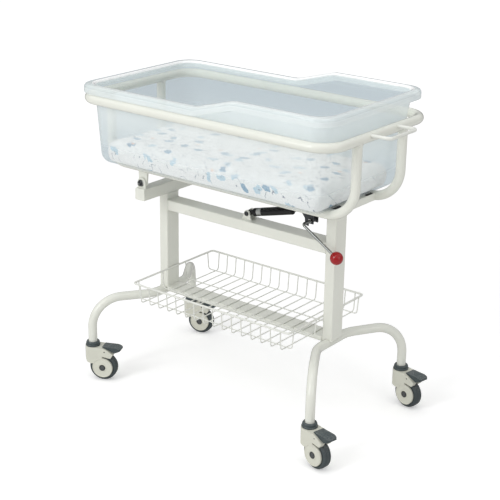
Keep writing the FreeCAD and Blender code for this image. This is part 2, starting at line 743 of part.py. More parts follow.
# ---- casters ---------------------------------------------------------------------------------
def caster_stem():
    """Kingpin, collar and spigot turned as one."""
    low = NECK_TOP + COLLAR_GAP
    head_top = KINGPIN_LOW + 3
    profile = [
        (0, KINGPIN_LOW), (KINGPIN_HEAD_R, KINGPIN_LOW), (KINGPIN_HEAD_R, head_top),
        (KINGPIN_R, head_top + 1), (KINGPIN_R, low), (COLLAR_R - 1, low), (COLLAR_R, low + 1.5),
        (COLLAR_R, COLLAR_TOP - 6), (COLLAR_R - 1.2, COLLAR_TOP - 2.5), (COLLAR_R - 3.2, COLLAR_TOP),
        (LEG_R + 0.3, COLLAR_TOP), (LEG_R + 0.1, LEG_END), (SPIGOT_R, LEG_END),
        (SPIGOT_R, SPIGOT_TOP - 2), (SPIGOT_R - 2, SPIGOT_TOP), (0, SPIGOT_TOP),
    ]
    return revolved(profile, Vector(0, 0, 0), Z_AXIS, X_AXIS)


def from_hub(x, z):
    """A point of the caster's side view, measured from the axle."""
    return Vector(TRAIL + x, 0, WHEEL_R + z)


def line(a, b):
    return Part.LineSegment(a, b).toShape()


def arc(a, b, c):
    return Part.Arc(a, b, c).toShape()


def housing_outline():
    """Side view: neck, back, disc about the axle, slot, and the hood over the wheel."""
    neck_left = Vector(-NECK_R, 0, NECK_TOP)
    back = Vector(-NECK_R, 0, 71)
    disc_angle = math.radians(158)
    disc_start = from_hub(DISC_R * math.cos(disc_angle), DISC_R * math.sin(disc_angle))
    slot_low = from_hub(0, DISC_R)
    slot_high = from_hub(0, 35.4)
    hood_low = from_hub(24, 31.4)
    tip_low = from_hub(26.5, 33.5)
    tip_high = from_hub(32, 43)
    crown = from_hub(2.5, 61.2)
    edges = [
        line(neck_left, back),
        arc(back, Vector(-14.5, 0, 56), disc_start),
        arc(disc_start, from_hub(0.5 * DISC_R, -0.866 * DISC_R), slot_low),
        line(slot_low, slot_high),
        line(slot_high, hood_low),
        line(hood_low, tip_low),
        line(tip_low, tip_high),
        arc(tip_high, from_hub(20.5, 53.7), crown),
        line(crown, Vector(NECK_R, 0, NECK_TOP)),
        line(Vector(NECK_R, 0, NECK_TOP), neck_left),
    ]
    return Part.Wire(edges)


def housing_plan():
    """Seen from above: a round back about the stem and straight sides."""
    far = 100
    edges = [
        arc(Vector(0, NECK_R, 0), Vector(-NECK_R, 0, 0), Vector(0, -NECK_R, 0)),
        line(Vector(0, -NECK_R, 0), Vector(far, -NECK_R, 0)),
        line(Vector(far, -NECK_R, 0), Vector(far, NECK_R, 0)),
        line(Vector(far, NECK_R, 0), Vector(0, NECK_R, 0)),
    ]
    return Part.Face(Part.Wire(edges)).extrude(Vector(0, 0, 2 * NECK_TOP))


def housing_draft():
    """Seen from the end: upright at the discs, wider towards the neck."""
    half = [(CHEEK_HALF, 0), (CHEEK_HALF, DRAFT_LOW), (NECK_R, DRAFT_TOP), (NECK_R, 2 * NECK_TOP)]
    points = half + [(-y, z) for y, z in reversed(half)]
    corners = [Vector(-NECK_R, y, z) for y, z in points]
    return Part.Face(Part.makePolygon(corners + corners[:1])).extrude(Vector(200, 0, 0))


def caster_housing():
    """Moulded housing: neck on the kingpin, two cheeks that end in discs, and a hood."""
    body = plate_xz(housing_outline(), -NECK_R, NECK_R)
    body = body.common(housing_plan()).common(housing_draft())
    hub = Vector(TRAIL, 0, WHEEL_R)
    body = body.cut(cylinder(hub - Y_AXIS * WELL_HALF, Y_AXIS, WELL_R, 2 * WELL_HALF))
    body = body.cut(cylinder(hub - Y_AXIS * NECK_R, Y_AXIS, AXLE_R, 2 * NECK_R))
    body = body.cut(cylinder(Vector(0, 0, WHEEL_R), Z_AXIS, KINGPIN_R + RUN_GAP, NECK_TOP))
    head_room = KINGPIN_LOW + 4.5 - WHEEL_R
    body = body.cut(cylinder(Vector(0, 0, WHEEL_R), Z_AXIS, KINGPIN_HEAD_R + 0.8, head_room))
    slot_half = PEDAL_ARM_HALF + 0.6
    slot = box(PEDAL_PIVOT_U - 8.5, 2 * PEDAL_PIVOT_U, -slot_half, slot_half, 70, 2 * NECK_TOP)
    body = body.cut(slot)
    pivot = Vector(PEDAL_PIVOT_U, -NECK_R, PEDAL_PIVOT_Z)
    return body.cut(cylinder(pivot, Y_AXIS, PEDAL_PIN_R, 2 * NECK_R))


def caster_axle():
    """Axle with a round hub cap at each end."""
    hub = Vector(TRAIL, 0, WHEEL_R)
    reach = CHEEK_HALF + 1.6
    profile = [
        (0, -reach), (CAP_R - 1, -reach), (CAP_R, -reach + 0.8), (CAP_R, -CHEEK_HALF),
        (AXLE_R, -CHEEK_HALF), (AXLE_R, CHEEK_HALF), (CAP_R, CHEEK_HALF),
        (CAP_R, reach - 0.8), (CAP_R - 1, reach), (0, reach),
    ]
    return revolved(profile, hub, Y_AXIS, X_AXIS)


def caster_wheel():
    """Plastic wheel core: hub, web and rim under the tyre."""
    hub = Vector(TRAIL, 0, WHEEL_R)
    bore = AXLE_R + RUN_GAP
    profile = [
        (bore, -12.8), (9, -12.8), (9, -4), (20, -4), (20, -10), (CORE_R, -10),
        (CORE_R, 10), (20, 10), (20, 4), (9, 4), (9, 12.8), (bore, 12.8),
    ]
    return revolved(profile, hub, Y_AXIS, X_AXIS)


def caster_tyre():
    """Rubber tyre with rounded shoulders, closed over the rim's sides."""
    hub = Vector(TRAIL, 0, WHEEL_R)
    profile = [(CORE_R, -10), (CORE_R, 10), (CORE_R + 0.5, TYRE_HALF - 1), (CORE_R + 3, TYRE_HALF)]
    shoulder = 5.5
    for sign in (1, -1):
        for step in range(4):
            turn = math.radians(30 * step)
            grow = shoulder * math.sin(turn) if sign > 0 else shoulder * math.cos(turn)
            side = shoulder * math.cos(turn) if sign > 0 else shoulder * math.sin(turn)
            profile.append((WHEEL_R - shoulder + grow, sign * (TYRE_HALF - shoulder + side)))
    profile += [(CORE_R + 3, -TYRE_HALF), (CORE_R + 0.5, -TYRE_HALF + 1)]
    return revolved(profile, hub, Y_AXIS, X_AXIS)


def brake_pedal():
    """Pedal over the hood, drawn pressed down and then lifted to its free position."""
    heel = from_hub(5.2, 62.9)
    low_tip = from_hub(36.6, 46)
    nose_low = from_hub(52, 50.5)
    nose = Vector(PEDAL_REACH, 0, 94.2)
    nose_high = from_hub(50, 57.5)
    top_mid = from_hub(41.3, 61.6)
    top_left = from_hub(1.5, 65.8)
    edges = [
        line(heel, low_tip),
        line(low_tip, nose_low),
        arc(nose_low, nose, nose_high),
        line(nose_high, top_mid),
        line(top_mid, top_left),
        line(top_left, heel),
    ]
    plate = plate_xz(Part.Wire(edges), -PEDAL_HALF, PEDAL_HALF)
    plan = rounded_rect(20, PEDAL_REACH + 0.2, -PEDAL_HALF, PEDAL_HALF, 9, 60)
    plate = plate.common(Part.Face(plan).extrude(Vector(0, 0, 60)))
    pivot = Vector(PEDAL_PIVOT_U, 0, PEDAL_PIVOT_Z)
    half = PEDAL_ARM_HALF
    eye = cylinder(pivot - Y_AXIS * half, Y_AXIS, half, 2 * half)
    web_left = PEDAL_PIVOT_U - 2.5
    web_right = PEDAL_PIVOT_U + half
    web = box(web_left, web_right, -half, half, PEDAL_PIVOT_Z, PEDAL_PIVOT_Z + 11.5)
    pedal = plate.fuse(eye.fuse(web))
    pedal = pedal.cut(cylinder(pivot - Y_AXIS * NECK_R, Y_AXIS, PEDAL_PIN_R + RUN_GAP, 2 * NECK_R))
    pedal.rotate(pivot, Y_AXIS, -PEDAL_TRAVEL)
    return pedal


def pedal_pin():
    reach = NECK_R - 1.5
    start = Vector(PEDAL_PIVOT_U, -reach, PEDAL_PIVOT_Z)
    return cylinder(start, Y_AXIS, PEDAL_PIN_R, 2 * reach)


def save_casters():
    """Four casters of the same six pieces, each turned on its stem."""
    pieces = {
        "caster_stem": caster_stem(),
        "caster_housing": caster_housing(),
        "caster_axle": group([caster_axle(), pedal_pin()]),
        "wheel_core": caster_wheel(),
        "tyre": caster_tyre(),
        "brake_pedal": brake_pedal(),
    }
    for corner, (stem_x, stem_y, turn) in CASTERS.items():
        for name, piece in pieces.items():
            placed = piece.copy()
            placed.rotate(Vector(0, 0, 0), Z_AXIS, turn)
            placed.translate(Vector(stem_x, stem_y, 0))
            save(f"{corner}_{name}", placed)


def main():
    os.makedirs("parts", exist_ok=True)
    save("head_leg", leg(POST_X, HEAD_STEM_X, HEAD_LEG_Z))
    save("foot_leg", leg(-POST_X, FOOT_STEM_X, FOOT_LEG_Z))
    save("foot_post", post(-POST_X, FOOT_LEG_Z, FOOT_POST_TOP))
    save("head_post", post(POST_X, HEAD_LEG_Z, HEAD_POST_TOP))
    save("upper_rail", rail(RAIL_LOW, RAIL_TOP, POST_B))
    save("lower_stretcher", rail(STRETCHER_LOW, STRETCHER_TOP, STRETCHER_DEPTH))
    save("foot_crossbeam", foot_crossbeam())
    save("crossbeam_end_plates", crossbeam_end_plates())
    save("base_hinge_lugs", base_hinge_lugs())
    save("hinge_bolts", hinge_bolts())
    save("head_rest_pad", head_rest_pad())
    save("basket_rim", basket_rim())
    save("basket_cross_wires", basket_cross_wires())
    save("basket_long_wires", basket_long_wires())
    save("spring_base_lugs", spring_base_lugs())
    save("spring_pivot_pin", spring_pivot_pin())
    front_tube = u_tube()
    save("cradle_ring", cradle_ring())
    save("front_u_tube", front_tube)
    save("back_u_tube", mirrored_y(front_tube))
    save("head_cross_member", head_cross_member(front_tube))
    save("tub_rest_pads", tub_rest_pads())
    save("spring_cross_bar", spring_cross_bar())
    save("cradle_hinge_lugs", cradle_hinge_lugs())
    save("handle_rod", handle_rod())
    save("release_bracket", release_bracket())
    save("spring_upper_pin", spring_upper_pin())
    save("gas_cylinder", gas_cylinder())
    save("gas_rod", gas_rod())
    save("lever_rod", lever_rod())
    save("lever_knob", lever_knob())
    save("release_cam", release_cam())
    save("tub", tub())
    save("tub_flange", tub_flange())
    save("mattress", mattress())
    save_casters()


main()
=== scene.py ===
"""Hospital bassinet on casters: bent tube base with a wire basket, a tilting cradle with a gas
spring and release lever, a clear moulded tub and a printed mattress.

Lengths in the mesh code are millimetres about the middle of the base, with the head end towards +X
and the front towards -Y. TO_FRAME takes them to metres in the part's own frame.
"""
import math

import bmesh
import bpy
from mathutils import Matrix, Vector, noise


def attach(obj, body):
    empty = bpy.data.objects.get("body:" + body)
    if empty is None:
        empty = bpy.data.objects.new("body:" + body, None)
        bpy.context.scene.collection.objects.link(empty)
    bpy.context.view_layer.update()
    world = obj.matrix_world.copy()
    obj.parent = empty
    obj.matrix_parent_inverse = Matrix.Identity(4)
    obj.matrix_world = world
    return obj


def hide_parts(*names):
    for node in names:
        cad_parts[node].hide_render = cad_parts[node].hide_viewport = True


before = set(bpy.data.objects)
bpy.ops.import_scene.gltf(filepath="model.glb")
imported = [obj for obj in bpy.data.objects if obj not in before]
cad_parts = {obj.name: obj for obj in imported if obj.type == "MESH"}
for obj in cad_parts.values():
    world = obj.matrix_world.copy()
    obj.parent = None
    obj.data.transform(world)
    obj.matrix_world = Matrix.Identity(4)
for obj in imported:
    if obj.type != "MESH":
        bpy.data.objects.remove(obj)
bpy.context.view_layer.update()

bl_info = {
    "name": "Hospital Bassinet",
    "version": (1, 0, 0),
    "blender": (4, 5, 0),
    "location": "3D View > Sidebar > Bassinet",
    "description": "Dresses the bassinet's frame with finished pieces and sets up a plain studio",
    "category": "Object",
}

MIDDLE_X = 28.0
TO_FRAME = Matrix.Scale(0.001, 4) @ Matrix.Translation((-MIDDLE_X, 0, 0))
TO_BASE = TO_FRAME.inverted()

# base
POST_X = 286.0
LEG_PLAN_Y = 70.0
STEM_Y = 217.0
HEAD_STEM_X = 374.0
FOOT_STEM_X = -388.0
HEAD_LEG_Z = 236.5
FOOT_LEG_Z = 242.5
LEG_END = 111.0

# cradle
RING_X = 404.0
RING_Y = 220.5
RING_Z = 823.5
U_Y = 102.0
U_Z = 623.5
HINGE_X = -288.0
HINGE_Z = 581.5

# tub
TUB_FLOOR = 636.5
LOW_RIM = 861.5
HIGH_RIM = 895.5
STEP_X0 = -5.0
STEP_X1 = 117.0
FLOOR_RADIUS = 30.0
LIP_DROP = 24.0

# caster, about its own stem
TRAIL = 32.0
WHEEL_R = 40.0
CHEEK_HALF = 17.8
CASTERS = {
    "front_foot": (FOOT_STEM_X, -STEM_Y, 25.0),
    "front_head": (HEAD_STEM_X, -STEM_Y, -12.0),
    "back_head": (HEAD_STEM_X, STEM_Y, -10.0),
    "back_foot": (FOOT_STEM_X, STEM_Y, 18.0),
}


# ---- sizes and colours a user can change --------------------------------------------------------
def length(name, description, default):
    return bpy.props.FloatProperty(
        name=name, description=description, default=default, min=0.0, unit="LENGTH", precision=5
    )


def colour(name, description, default):
    return bpy.props.FloatVectorProperty(
        name=name, description=description, default=default + (1.0,), size=4, min=0.0, max=1.0,
        subtype="COLOR",
    )


class BassinetSizes(bpy.types.PropertyGroup):
    tube_radius: length("Tube radius", "Radius of the legs and the cradle's tubes", 0.0125)
    handle_radius: length("Handle radius", "Radius of the push handle's rod", 0.0045)
    rim_wire_radius: length("Rim wire radius", "Radius of the basket's rim", 0.0028)
    wire_radius: length("Wire radius", "Radius of the basket's thin wires", 0.0016)
    weld_radius: length("Weld bead", "Radius of the weld beads between steel parts", 0.0016)
    edge_round: length("Edge rounding", "Radius on the edges of pressed and sawn steel", 0.0007)
    wall: length("Tub wall", "Thickness of the tub's moulded wall", 0.003)
    crown: length("Mattress crown", "How far the mattress swells above its flat edge", 0.010)
    lever_radius: length("Lever radius", "Radius of the release lever's rod", 0.0035)
    knob_radius: length("Knob radius", "Radius of the ball on the release lever", 0.01725)


class BassinetColours(bpy.types.PropertyGroup):
    coat: colour("Powder coat", "Semi-gloss coat on the steel frame", (0.80, 0.81, 0.74))
    wire: colour("Wire coat", "Plastic coat on the basket and the handle", (0.80, 0.81, 0.76))
    tub: colour("Tub", "Tint of the frosted moulding, seen from outside", (0.88, 0.94, 0.94))
    # painted shade: the inside faces take a darker, bluer copy of the moulding's own tint
    tub_inside_painted_shade: colour("Tub shade", "Tint of the moulding's inside", (0.40, 0.54, 0.63))
    lip: colour("Tub rim", "Thick rim of the clear moulding", (0.86, 0.92, 0.92))
    cloth: colour("Cloth", "Ground of the mattress cover", (0.88, 0.885, 0.875))
    print_blue: colour("Print blue", "Leaves printed on the cover", (0.12, 0.28, 0.43))
    print_pale: colour("Print pale blue", "Pale strokes printed on the cover", (0.42, 0.59, 0.70))
    print_grey: colour("Print grey", "Small marks printed on the cover", (0.17, 0.20, 0.26))
    print_orange: colour("Print orange", "Dots printed on the cover", (0.82, 0.50, 0.37))
    cream: colour("Caster housing", "Moulded housings", (0.70, 0.70, 0.61))
    slate: colour("Collar and pedal", "Blue-grey moulded parts", (0.045, 0.062, 0.066))
    tyre: colour("Tyre", "Blue-grey rubber", (0.050, 0.064, 0.068))
    knob: colour("Knob", "Ball on the release lever", (0.36, 0.006, 0.010))


# ---- mesh helpers -------------------------------------------------------------------------------
def bend(before, corner, after, radius, count):
    """Points of the arc that joins two straight runs."""
    back = (before - corner).normalized()
    on = (after - corner).normalized()
    half = back.angle(on) / 2
    centre = corner + (back + on).normalized() * (radius / math.sin(half))
    first = corner + back * (radius / math.tan(half)) - centre
    last = corner + on * (radius / math.tan(half)) - centre
    total = first.angle(last)
    points = []
    for i in range(count + 1):
        t = i / count
        a = math.sin((1 - t) * total) / math.sin(total)
        b = math.sin(t * total) / math.sin(total)
        points.append(centre + first * a + last * b)
    return points


def bent_path(points, radii, count=12):
    points = [Vector(p) for p in points]
    path = [points[0]]
    for i, radius in enumerate(radii):
        path += bend(points[i], points[i + 1], points[i + 2], radius, count)
    return path + [points[-1]]


def loop_path(corners, radius, count=12):
    corners = [Vector(p) for p in corners]
    path = []
    for i, corner in enumerate(corners):
        path += bend(corners[i - 1], corner, corners[(i + 1) % len(corners)], radius, count)
    return path


def rectangle(x0, x1, y0, y1, z):
    return [(x0, y0, z), (x1, y0, z), (x1, y1, z), (x0, y1, z)]


def filled(path, step):
    """The same path with more points on its long runs."""
    points = [path[0]]
    for a, b in zip(path, path[1:]):
        parts = max(1, round((b - a).length / step))
        points += [a.lerp(b, (i + 1) / parts) for i in range(parts)]
    return points


def skin(bm, rings, closed=False):
    """Quads between neighbouring rings of equally many points."""
    made = []
    for a, b in zip(rings, rings[1:] + (rings[:1] if closed else [])):
        for k in range(len(a)):
            j = (k + 1) % len(a)
            made.append(bm.faces.new((a[k], a[j], b[j], b[k])))
    return made


def sweep(bm, path, radius, sides=28, closed=False):
    """Round bar along a path; radius is a number or a function of the point's index."""
    count = len(path)
    side = None
    rings = []
    for i, point in enumerate(path):
        before = path[i - 1] if closed or i else point
        after = path[(i + 1) % count] if closed or i < count - 1 else point
        tangent = (after - before).normalized()
        side = tangent.orthogonal() if side is None else side - tangent * side.dot(tangent)
        side.normalize()
        up = tangent.cross(side)
        r = radius(i) if callable(radius) else radius
        turns = [2 * math.pi * k / sides for k in range(sides)]
        rings.append([bm.verts.new(point + (side * math.cos(a) + up * math.sin(a)) * r) for a in turns])
    skin(bm, rings, closed)
    if not closed:
        bm.faces.new(rings[0][::-1])
        bm.faces.new(rings[-1])


def bead(bm, path, radius, closed=True):
    """Weld bead with its row of small ripples."""
    points = filled(path + path[:1], 1.2)[:-1] if closed else filled(path, 1.2)

    def ripple(i):
        swell = 0.12 * math.sin(i * 2.1) + 0.2 * noise.noise(points[i] * 0.09)
        return radius * (1 + swell)

    sweep(bm, points, ripple, 8, closed)


def along(centre, axis):
    """Matrix that stands a turned profile on a point, with its height along an axis."""
    return Matrix.Translation(Vector(centre)) @ Vector(axis).to_track_quat("Z", "Y").to_matrix().to_4x4()


def turned(bm, profile, matrix, sides=48, closed=False):
    """Turns (radius, height) points about an axis; closed joins the last point to the first."""
    rings = []
    for r, h in profile:
        if r < 1e-6:
            rings.append([bm.verts.new(matrix @ Vector((0, 0, h)))])
            continue
        turns = [2 * math.pi * k / sides for k in range(sides)]
        rings.append([bm.verts.new(matrix @ Vector((r * math.cos(a), r * math.sin(a), h))) for a in turns])
    made = []
    for a, b in zip(rings, rings[1:] + (rings[:1] if closed else [])):
        for k in range(sides):
            j = (k + 1) % sides
            corners = [a[k % len(a)], a[j % len(a)], b[j % len(b)], b[k % len(b)]]
            kept = [v for i, v in enumerate(corners) if v not in corners[:i]]
            if len(kept) > 2:
                made.append(bm.faces.new(kept))
    return made


def round_profile(points, radius, count=4):
    """Rounds the inner corners of an open (radius, height) profile."""
    flat = [Vector((r, h, 0)) for r, h in points]
    kept = [flat[0]]
    for i in range(1, len(flat) - 1):
        short = min((flat[i] - flat[i - 1]).length, (flat[i + 1] - flat[i]).length)
        turn = (flat[i] - flat[i - 1]).angle(flat[i + 1] - flat[i])
        if turn < 0.2:
            kept.append(flat[i])
            continue
        most = 0.45 * short / math.tan(turn / 2)
        kept += bend(flat[i - 1], flat[i], flat[i + 1], min(radius, most), count)
    kept.append(flat[-1])
    return [(p.x, p.y) for p in kept]


def from_frame(name, width, segments=2):
    """Copy of a frame node with its sharp edges rounded; the rounded faces use slot 1."""
    bm = bmesh.new()
    bm.from_mesh(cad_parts[name].data)
    bm.transform(TO_BASE)
    bmesh.ops.remove_doubles(bm, verts=bm.verts, dist=0.01)
    bmesh.ops.dissolve_limit(bm, angle_limit=math.radians(0.3), verts=bm.verts, edges=bm.edges)
    for face in bm.faces:
        face.material_index = 0
    sharp = [e for e in bm.edges if len(e.link_faces) == 2 and e.calc_face_angle(0) > math.radians(28)]
    bmesh.ops.bevel(
        bm, geom=sharp, offset=width, offset_type="OFFSET", segments=segments, profile=0.5,
        affect="EDGES", clamp_overlap=True, material=1,
    )
    return bm


def add_piece(name, bm, materials, body, replaces=(), sharp=38, weighted=False):
    """Makes the object, sets its normals and hangs it on its body."""
    bm.transform(TO_FRAME)
    bmesh.ops.recalc_face_normals(bm, faces=bm.faces)
    mesh = bpy.data.meshes.new(name)
    bm.to_mesh(mesh)
    bm.free()
    for material in materials:
        mesh.materials.append(material)
    mesh.polygons.foreach_set("use_smooth", [True] * len(mesh.polygons))
    mesh.set_sharp_from_angle(angle=math.radians(sharp))
    piece = bpy.data.objects.new(name, mesh)
    bpy.context.scene.collection.objects.link(piece)
    if weighted:
        piece.modifiers.new("even_normals", "WEIGHTED_NORMAL").keep_sharp = True
    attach(piece, body)
    if replaces:
        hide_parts(*replaces)
    return piece


def dress(name, material):
    """Gives a frame node that stays as it is its finish."""
    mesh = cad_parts[name].data
    mesh.materials.clear()
    mesh.materials.append(material)


CLEAR_TOP = 0.672          # the tub's wall is clear up to this height,
MISTY_FROM = 0.705         # half frosted from here
CLOUDY_FROM = 0.80         # and fully frosted from here


# ---- shader helpers -----------------------------------------------------------------------------
def add_node(tree, kind, values=None, **settings):
    made = tree.nodes.new(kind)
    for key, value in settings.items():
        setattr(made, key, value)
    for key, value in (values or {}).items():
        made.inputs[key].default_value = value
    return made


def math_node(tree, operation, a, b=None, c=None, clamp=False):
    made = add_node(tree, "ShaderNodeMath", operation=operation, use_clamp=clamp)
    for i, value in enumerate((a, b, c)):
        if value is None:
            continue
        if isinstance(value, bpy.types.NodeSocket):
            tree.links.new(value, made.inputs[i])
        else:
            made.inputs[i].default_value = value
    return made.outputs[0]


def fade(tree, value, low, high, to_low=0.0, to_high=1.0):
    """Smooth ramp from low to high; the limits may be numbers or sockets."""
    made = add_node(tree, "ShaderNodeMapRange", interpolation_type="SMOOTHSTEP")
    tree.links.new(value, made.inputs["Value"])
    for key, limit in (("From Min", low), ("From Max", high), ("To Min", to_low), ("To Max", to_high)):
        if isinstance(limit, bpy.types.NodeSocket):
            tree.links.new(limit, made.inputs[key])
        else:
            made.inputs[key].default_value = limit
    return made.outputs["Result"]


def mix_colour(tree, factor, a, b, blend="MIX"):
    made = add_node(tree, "ShaderNodeMix", data_type="RGBA", blend_type=blend, clamp_factor=True)
    for key, value in ((0, factor), (6, a), (7, b)):
        if isinstance(value, bpy.types.NodeSocket):
            tree.links.new(value, made.inputs[key])
        else:
            made.inputs[key].default_value = value
    return made.outputs[2]


def object_space(tree):
    return add_node(tree, "ShaderNodeTexCoord").outputs["Object"]


def noise_at(tree, vector, scale, detail=2.0, rough=0.5):
    made = add_node(tree, "ShaderNodeTexNoise", {"Detail": detail, "Roughness": rough})
    tree.links.new(vector, made.inputs["Vector"])
    if isinstance(scale, bpy.types.NodeSocket):
        tree.links.new(scale, made.inputs["Scale"])
    else:
        made.inputs["Scale"].default_value = scale
    return made.outputs["Fac"]


def new_group(name, inputs, outputs):
    group = bpy.data.node_groups.new(name, "ShaderNodeTree")
    kinds = {"value": "NodeSocketFloat", "colour": "NodeSocketColor", "vector": "NodeSocketVector"}
    for key, kind, default in inputs:
        socket = group.interface.new_socket(name=key, in_out="INPUT", socket_type=kinds[kind])
        socket.default_value = default
    for key, kind in outputs:
        group.interface.new_socket(name=key, in_out="OUTPUT", socket_type=kinds[kind])
    return group, add_node(group, "NodeGroupInput").outputs, add_node(group, "NodeGroupOutput").inputs


def surface_skin_group():
    """Slow drift of tone and gloss, and the fine skin of a coated or moulded surface."""
    group, given, out = new_group(
        "surface_skin",
        [("Colour", "colour", (0.8, 0.8, 0.8, 1)), ("Drift", "value", 0.04), ("Roughness", "value", 0.35),
         ("Spread", "value", 0.08), ("Grain", "value", 700.0)],
        [("Colour", "colour"), ("Roughness", "value"), ("Height", "value")],
    )
    space = object_space(group)
    slow = noise_at(group, space, 7.0, 3.0)
    mid = noise_at(group, space, 60.0, 3.0)
    shift = math_node(group, "MULTIPLY", math_node(group, "SUBTRACT", slow, 0.5), given["Drift"])
    level = math_node(group, "ADD", math_node(group, "MULTIPLY", shift, 2.0), 1.0)
    tone = add_node(group, "ShaderNodeCombineColor")
    warm = math_node(group, "ADD", level, math_node(group, "MULTIPLY", shift, 0.3))
    for i, value in enumerate((warm, level, level)):
        group.links.new(value, tone.inputs[i])
    group.links.new(mix_colour(group, 1.0, given["Colour"], tone.outputs[0], "MULTIPLY"), out["Colour"])
    rough = math_node(group, "MULTIPLY", math_node(group, "SUBTRACT", mid, 0.5), given["Spread"])
    group.links.new(math_node(group, "ADD", given["Roughness"], rough, clamp=True), out["Roughness"])
    fine = noise_at(group, space, given["Grain"], 2.0, 0.6)
    height = math_node(group, "ADD", math_node(group, "MULTIPLY", fine, 0.8), math_node(group, "MULTIPLY", mid, 0.4))
    group.links.new(height, out["Height"])
    return group


def rub_marks_group():
    """Mask of sparse hairline scuffs in two directions."""
    group, given, out = new_group(
        "rub_marks", [("Scale", "value", 30.0), ("Amount", "value", 0.3)], [("Mask", "value")]
    )
    space = object_space(group)
    patches = noise_at(group, space, 9.0, 2.0)
    total = None
    for turn, stretch in (((0.4, 0.2, 0.7), (1, 14, 9)), ((-0.6, 0.5, -0.3), (12, 1, 10))):
        mapping = add_node(group, "ShaderNodeMapping", {"Rotation": turn, "Scale": stretch})
        group.links.new(space, mapping.inputs["Vector"])
        lines = noise_at(group, mapping.outputs["Vector"], given["Scale"], 3.0, 0.7)
        mask = fade(group, lines, 0.66, 0.74)
        total = mask if total is None else math_node(group, "MAXIMUM", total, mask)
    some = fade(group, patches, 0.45, 0.7)
    strength = math_node(group, "MULTIPLY", math_node(group, "MULTIPLY", total, some), given["Amount"])
    group.links.new(strength, out["Mask"])
    return group


def settled_dust_group():
    """Mask of thin dust, strongest on faces that look up."""
    group, given, out = new_group("settled_dust", [("Amount", "value", 0.2)], [("Mask", "value")])
    facing = add_node(group, "ShaderNodeSeparateXYZ")
    group.links.new(add_node(group, "ShaderNodeNewGeometry").outputs["Normal"], facing.inputs[0])
    up = fade(group, facing.outputs["Z"], 0.2, 1.0)
    specks = fade(group, noise_at(group, object_space(group), 260.0, 4.0, 0.7), 0.4, 0.75)
    group.links.new(math_node(group, "MULTIPLY", math_node(group, "MULTIPLY", up, specks), given["Amount"]), out["Mask"])
    return group


def cotton_weave_group():
    """Threads crossing in all three directions, so that every side of a pad shows the weave."""
    group, given, out = new_group(
        "cotton_weave", [("Threads", "value", 260.0)], [("Height", "value"), ("Shade", "value")]
    )
    space = object_space(group)
    waves = []
    for direction in ("X", "Y", "Z"):
        wave = add_node(group, "ShaderNodeTexWave", {"Distortion": 0.35, "Detail": 1.0, "Detail Scale": 1.5},
                        bands_direction=direction)
        group.links.new(space, wave.inputs["Vector"])
        group.links.new(given["Threads"], wave.inputs["Scale"])
        waves.append(wave.outputs["Fac"])
    pairs = [math_node(group, "MULTIPLY", waves[i], waves[(i + 1) % 3]) for i in range(3)]
    total = math_node(group, "ADD", math_node(group, "ADD", pairs[0], pairs[1]), pairs[2])
    group.links.new(math_node(group, "MULTIPLY", total, 0.5), out["Height"])
    slub = noise_at(group, space, 90.0, 4.0, 0.65)
    group.links.new(math_node(group, "ADD", math_node(group, "MULTIPLY", total, 0.35), slub), out["Shade"])
    return group


